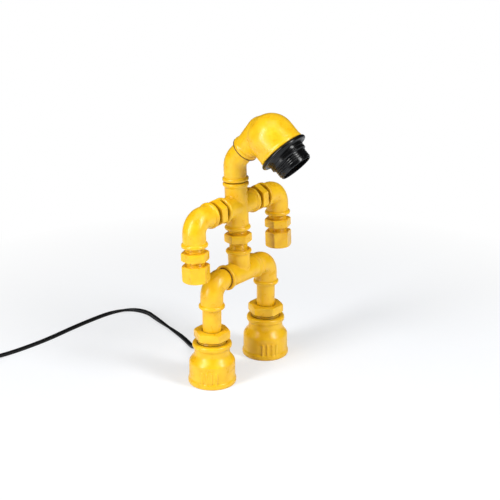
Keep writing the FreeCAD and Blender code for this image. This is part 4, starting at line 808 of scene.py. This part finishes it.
SLEEVE_INNER = 0.0176
holder_place = frame_at(head_centre, mouth_axis, -head_up)
sleeve_root = SLEEVE - SLEEVE_DEPTH
sleeve = joined("holder_sleeve", turned("tube", [
    (SLEEVE_INNER, SLEEVE_START), (sleeve_root, SLEEVE_START), (sleeve_root, SLEEVE_END - 0.0012),
    (sleeve_root - 0.0003, SLEEVE_END - 0.0004), (sleeve_root - 0.0007, SLEEVE_END),
    (SLEEVE_INNER + 0.0004, SLEEVE_END), (SLEEVE_INNER, SLEEVE_END - 0.0005)], sides=96),
    thread_ridge("ridge", SLEEVE, SLEEVE_START + 0.004, SLEEVE_END - 0.0012, SLEEVE_PITCH,
                 SLEEVE_DEPTH))
install(sleeve, holder_place, "head", phenolic, ["lampholder_sleeve"])

RING_LOW = 0.0309
RING_RIM = 0.0287
RING_COLLAR = 0.0219
RING_HIGH = 0.0435
rim_round = 0.0022
rim = [(RING_RIM - rim_round + rim_round * math.sin(turn),
        RING_LOW + rim_round - rim_round * math.cos(turn))
       for turn in (math.radians(18 * step) for step in range(11))]
dish = [(0.0252, RING_LOW + 0.0036), (0.0243, RING_LOW + 0.0034), (0.0234, RING_LOW + 0.0040),
        (0.0226, RING_LOW + 0.0050), (0.0221, RING_LOW + 0.0062)]
ring = turned("shade_clamp_ring", [(SLEEVE + 0.0001, RING_LOW)] + rim + dish
              + [(RING_COLLAR, RING_LOW + 0.0070), (RING_COLLAR, RING_HIGH - 0.0046),
                 (RING_COLLAR - 0.0004, RING_HIGH - 0.0042),
                 (RING_COLLAR - 0.0004, RING_HIGH - 0.0038),
                 (RING_COLLAR, RING_HIGH - 0.0034), (RING_COLLAR, RING_HIGH - 0.0010),
                 (RING_COLLAR - 0.0010, RING_HIGH), (SLEEVE + 0.0001, RING_HIGH)], sides=96)
install(ring, holder_place, "ring", phenolic, ["shade_ring"])

# Inside of the lampholder. The bulb's screw shell and centre contact are stamped from brass
# sheet, and the two terminal screws are zinc plated steel. The moulded parts are phenolic.


def refinished(material, *names):
    """Give CAD nodes whose shape is right the finish of the real part."""
    for name in names:
        for place in frame["nodes"][name].material_slots:
            place.material = material


def metal(name, dark, light, rough_from, rough_to, grain):
    """Bare metal with a little tarnish that varies over the surface."""
    material = new_material(name)
    place = add(material, "ShaderNodeTexCoord").outputs["Object"]
    tarnish = add(material, "ShaderNodeTexNoise", {"Vector": place},
                  {"Scale": 1 / grain, "Detail": 4.0, "Roughness": 0.6})
    tone = ramp(material, tarnish.outputs["Fac"], [(0.32, dark), (0.68, light)])
    rough = add(material, "ShaderNodeMapRange", {"Value": tarnish.outputs["Fac"]},
                {"From Min": 0.3, "From Max": 0.7, "To Min": rough_to, "To Max": rough_from})
    shade(material, {"Base Color": tone.outputs["Color"], "Roughness": rough.outputs["Result"]},
          {"Metallic": 1.0})
    return material


brass = metal("stamped_brass", "A8823A", "D9B566", 0.22, 0.38, 0.004)
zinc = metal("zinc_plated_steel", "8E9194", "C9CCCF", 0.25, 0.42, 0.003)
nickel = metal("nickel_plated_brass", "B9B3A6", "DAD6CC", 0.14, 0.24, 0.004)
refinished(phenolic, "lampholder_cap", "lampholder_insert", "cord_grip")
refinished(brass, "bulb_screw_shell", "centre_contact", "switch_contacts")
refinished(zinc, "terminal_screws")
refinished(nickel, "plug_pins")

# Switch and plug. The inline rocker switch is two screwed shells of moulded plastic, and the
# plug is moulded in one piece on the end of the cord. The photograph shows neither.


def moulded(name, dark, light, rough_from, rough_to, grain, bump):
    """Black moulded plastic, finely textured from the mould."""
    material = new_material(name)
    place = add(material, "ShaderNodeTexCoord").outputs["Object"]
    spark = add(material, "ShaderNodeTexNoise", {"Vector": place},
                {"Scale": 1 / grain, "Detail": 3.0, "Roughness": 0.6})
    tone = ramp(material, spark.outputs["Fac"], [(0.35, dark), (0.7, light)])
    rough = add(material, "ShaderNodeMapRange", {"Value": spark.outputs["Fac"]},
                {"From Min": 0.3, "From Max": 0.7, "To Min": rough_from, "To Max": rough_to})
    texture = add(material, "ShaderNodeBump", {"Height": spark.outputs["Fac"]},
                  {"Strength": bump, "Distance": 0.0001})
    shade(material, {"Base Color": tone.outputs["Color"], "Roughness": rough.outputs["Result"],
                     "Normal": texture.outputs["Normal"]},
          {"IOR": 1.5, "Specular IOR Level": 0.25})
    return material


switch_plastic = moulded("sparked_black_plastic", "141416", "1E1E21", 0.36, 0.48, 0.0006, 0.25)
soft_plastic = moulded("soft_black_vinyl", "121214", "1B1B1E", 0.42, 0.55, 0.0008, 0.15)
cord_jacket = moulded("black_vinyl_cord_jacket", "050506", "0A0A0B", 0.34, 0.46, 0.0015, 0.10)
refinished(switch_plastic, "switch_base", "switch_cover", "switch_rocker")
refinished(soft_plastic, "plug_body")
refinished(cord_jacket, "lead_in_leg", "lead_in_torso", "lead_in_neck", "lead_in_head")

# Strain relief. A soft vinyl bush with a flange, pressed into the hole in the foot, and a
# tail of rings that get smaller, so that the cord bends gently.

EXIT = Vector((-0.03345, 0.05167, 0.014))
EXIT_AZIMUTH = 55
EXIT_REACH = 0.0278
RELIEF_FLANGE = 0.0063
RELIEF_ROOT = 0.0043
RELIEF_TIP = 0.0033
RELIEF_LENGTH = 0.02
RELIEF_BUSH = 0.0044
RELIEF_RINGS = 6
exit_turn = math.radians(EXIT_AZIMUTH)
exit_way = Vector((math.cos(exit_turn), math.sin(exit_turn), 0))
tail = []
for ring in range(RELIEF_RINGS):
    near = EXIT_REACH + RELIEF_LENGTH * ring / RELIEF_RINGS
    radius = RELIEF_ROOT + (RELIEF_TIP - RELIEF_ROOT) * ring / (RELIEF_RINGS - 1)
    pitch = RELIEF_LENGTH / RELIEF_RINGS
    tail += [(radius - 0.0007, near + 0.0002), (radius - 0.0007, near + 0.0010),
             (radius, near + 0.0013), (radius, near + pitch - 0.0003),
             (radius - 0.0003, near + pitch)]
relief = turned("foot_cord_strain_relief", [
    (RELIEF_BUSH, 0.0198), (RELIEF_BUSH, 0.0262), (RELIEF_FLANGE, 0.0262),
    (RELIEF_FLANGE, EXIT_REACH - 0.0006), (RELIEF_FLANGE - 0.0006, EXIT_REACH)] + tail,
    solid=True, sides=48)
install(relief, frame_at(EXIT - exit_way * EXIT_REACH, exit_way, Z_AXIS), "legs", soft_plastic,
        ["foot_strain_relief"])

# Cord. Flat two core vinyl flex, about 5 mm broad, from the foot round behind the lamp,
# through the switch, into a coil and out to the plug. It lies flat, apart from a stretch
# behind the left foot, where it stands on its edge.

CORD_WIDTH = 0.0052
CORD_THICK = 0.0032
LAID = 0.0017
# How far the cord is turned about itself at some points of its route, in degrees.
TWISTS = {4: 40, 5: 90, 6: 90, 7: 40}
ROUTE_TO_SWITCH = [
    EXIT, EXIT + exit_way * 0.038, (0.001, 0.101, LAID), (0.016, 0.129, LAID),
    (0.027, 0.163, 0.0028), (0.037, 0.194, 0.0030), (0.0455, 0.217, 0.0030),
    (0.040, 0.240, 0.0028),
    (0.020, 0.254, LAID), (-0.012, 0.257, LAID), (-0.050, 0.2575, LAID), (-0.092, 0.256, LAID),
    (-0.134, 0.2595, LAID), (-0.164, 0.2635, 0.0028), (-0.178, 0.2646, 0.0062),
    (-0.196, 0.265, 0.0064)]
ROUTE_TO_COIL = [(-0.248, 0.265, 0.0064), (-0.264, 0.2654, 0.0062), (-0.277, 0.2645, 0.0028),
                 (-0.291, 0.260, LAID), (-0.306, 0.2568, LAID)]
COIL_CENTRE = Vector((-0.318, 0.225, 0))
# Radius and height of each turn in the order they were wound: outside and inside on three
# levels, and the last on top of them.
COIL_TURNS = [(0.0323, LAID), (0.0268, LAID), (0.0268, 0.0050), (0.0323, 0.0050),
              (0.0323, 0.0083), (0.0268, 0.0083), (0.0295, 0.0116)]
COIL_POINTS = 14
COIL_STEP = 22.5
COIL_START = 92.5
ROUTE_TO_PLUG = [(-0.340, 0.2485, 0.0116), (-0.351, 0.2435, 0.0092), (-0.3565, 0.233, 0.0044),
                 (-0.3555, 0.219, 0.0030), (-0.351, 0.200, 0.00685), (-0.351, 0.188, 0.00685)]
coil = []
for number, (radius, height) in enumerate(COIL_TURNS):
    after = COIL_TURNS[min(number + 1, len(COIL_TURNS) - 1)]
    for step in range(COIL_POINTS):
        turn = math.radians(COIL_START + COIL_STEP * (number * COIL_POINTS + step))
        share = 0.5 if step == COIL_POINTS - 1 else 0.0
        place = radius + (after[0] - radius) * share
        level = height + (after[1] - height) * share
        coil.append(COIL_CENTRE + Vector((place * math.cos(turn), place * math.sin(turn), level)))
cord_points = ROUTE_TO_SWITCH + ROUTE_TO_COIL + coil + ROUTE_TO_PLUG

section_data = bpy.data.curves.new("cord_section", "CURVE")
section = section_data.splines.new("NURBS")
lobe = CORD_THICK / 2
waist = lobe * 0.72
centre = (CORD_WIDTH - CORD_THICK) / 2
outline = [(centre + lobe, 0), (centre + lobe, lobe), (centre, lobe * 1.08), (0, waist),
           (-centre, lobe * 1.08), (-centre - lobe, lobe), (-centre - lobe, 0),
           (-centre - lobe, -lobe), (-centre, -lobe * 1.08), (0, -waist), (centre, -lobe * 1.08),
           (centre + lobe, -lobe)]
section.points.add(len(outline) - 1)
for point, (across, up) in zip(section.points, outline):
    point.co = (across, up, 0, 1)
section.use_cyclic_u = True
section.order_u = 3
section.resolution_u = 3
section_shape = bpy.data.objects.new("cord_section", section_data)
bpy.context.scene.collection.objects.link(section_shape)
section_shape.hide_render = True

cord_data = bpy.data.curves.new("free_cord", "CURVE")
cord_data.dimensions = "3D"
cord_data.resolution_u = 8
cord_data.twist_mode = "Z_UP"
cord_data.bevel_mode = "OBJECT"
cord_data.bevel_object = section_shape
cord_data.use_fill_caps = True
spline = cord_data.splines.new("NURBS")
spline.points.add(len(cord_points) - 1)
for number, (point, place) in enumerate(zip(spline.points, cord_points)):
    point.co = (*place, 1)
    point.tilt = math.radians(TWISTS.get(number, 0))
spline.order_u = 3
spline.use_endpoint_u = True
cord = bpy.data.objects.new("free_cord", cord_data)
bpy.context.scene.collection.objects.link(cord)
cord_data.materials.append(cord_jacket)
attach(cord, "legs")
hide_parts("cord_to_switch", "cord_to_coil", "cord_coil", "cord_to_plug")

# Camera, floor and light
camera_data = bpy.data.cameras.new("camera")
camera_data.lens = 87.23
camera_data.sensor_width = 36.0
camera_data.clip_start = 0.05
camera_data.clip_end = 50.0
camera = bpy.data.objects.new("camera", camera_data)
bpy.context.scene.collection.objects.link(camera)
camera.location = (-1.00322, -0.77243, 0.61303)
camera.rotation_euler = [math.radians(angle) for angle in (69.929, -0.238, -51.820)]
bpy.context.scene.camera = camera

bpy.ops.object.select_all(action="DESELECT")
bpy.ops.mesh.primitive_plane_add(size=24)
floor = bpy.context.object
floor.name = "floor"
PURE_WHITE = (1, 1, 1, 1)
FILL = 0.05
white = new_material("white_paper_sweep")
camera_ray = add(white, "ShaderNodeLightPath")
floor_place = add(white, "ShaderNodeTexCoord").outputs["Object"]
far = add(white, "ShaderNodeVectorMath", {0: floor_place}, operation="LENGTH")
fade = add(white, "ShaderNodeMapRange", {"Value": far.outputs["Value"]},
           {"From Min": 0.22, "From Max": 0.60, "To Min": 0.5, "To Max": 1.0})
seen = add(white, "ShaderNodeMath",
           {0: fade.outputs["Result"], 1: camera_ray.outputs["Is Camera Ray"]},
           operation="MULTIPLY")
paper = add(white, "ShaderNodeBsdfDiffuse", inputs={"Color": linear("F4F8FE")})
glow = add(white, "ShaderNodeEmission", inputs={"Color": PURE_WHITE, "Strength": 1.0})
both = add(white, "ShaderNodeMixShader",
           {0: seen.outputs[0], 1: paper.outputs[0], 2: glow.outputs[0]})
add(white, "ShaderNodeOutputMaterial", {"Surface": both.outputs[0]})
floor.data.materials.append(white)

world = bpy.data.worlds.new("studio")
bpy.context.scene.world = world
world.use_nodes = True
world.node_tree.nodes.clear()
path = add(world, "ShaderNodeLightPath")
fill = add(world, "ShaderNodeBackground", inputs={"Color": PURE_WHITE, "Strength": FILL})
seen_white = add(world, "ShaderNodeBackground", inputs={"Color": PURE_WHITE, "Strength": 1.0})
mix = add(world, "ShaderNodeMixShader",
          {0: path.outputs["Is Camera Ray"], 1: fill.outputs[0], 2: seen_white.outputs[0]})
add(world, "ShaderNodeOutputWorld", {"Surface": mix.outputs[0]})


def softbox(name, azimuth, elevation, distance, width, height, power):
    """A soft light that faces the middle of the lamp."""
    middle = Vector((0, 0, 0.15))
    turn, lift = math.radians(azimuth), math.radians(elevation)
    away = Vector((math.sin(turn) * math.cos(lift), -math.cos(turn) * math.cos(lift),
                   math.sin(lift)))
    light = bpy.data.lights.new(name, "AREA")
    light.shape = "RECTANGLE"
    light.size = width
    light.size_y = height
    light.energy = power
    lamp = bpy.data.objects.new(name, light)
    bpy.context.scene.collection.objects.link(lamp)
    lamp.location = middle + away * distance
    lamp.rotation_euler = away.to_track_quat("Z", "Y").to_euler()


softbox("left_softbox", -102, 27, 1.5, 0.40, 1.5, 22.5)
softbox("right_softbox", 6, 34, 1.5, 0.35, 1.1, 18.5)
softbox("top_softbox", -52, 80, 1.6, 1.0, 1.0, 5.5)
bpy.context.scene.view_settings.view_transform = "Standard"
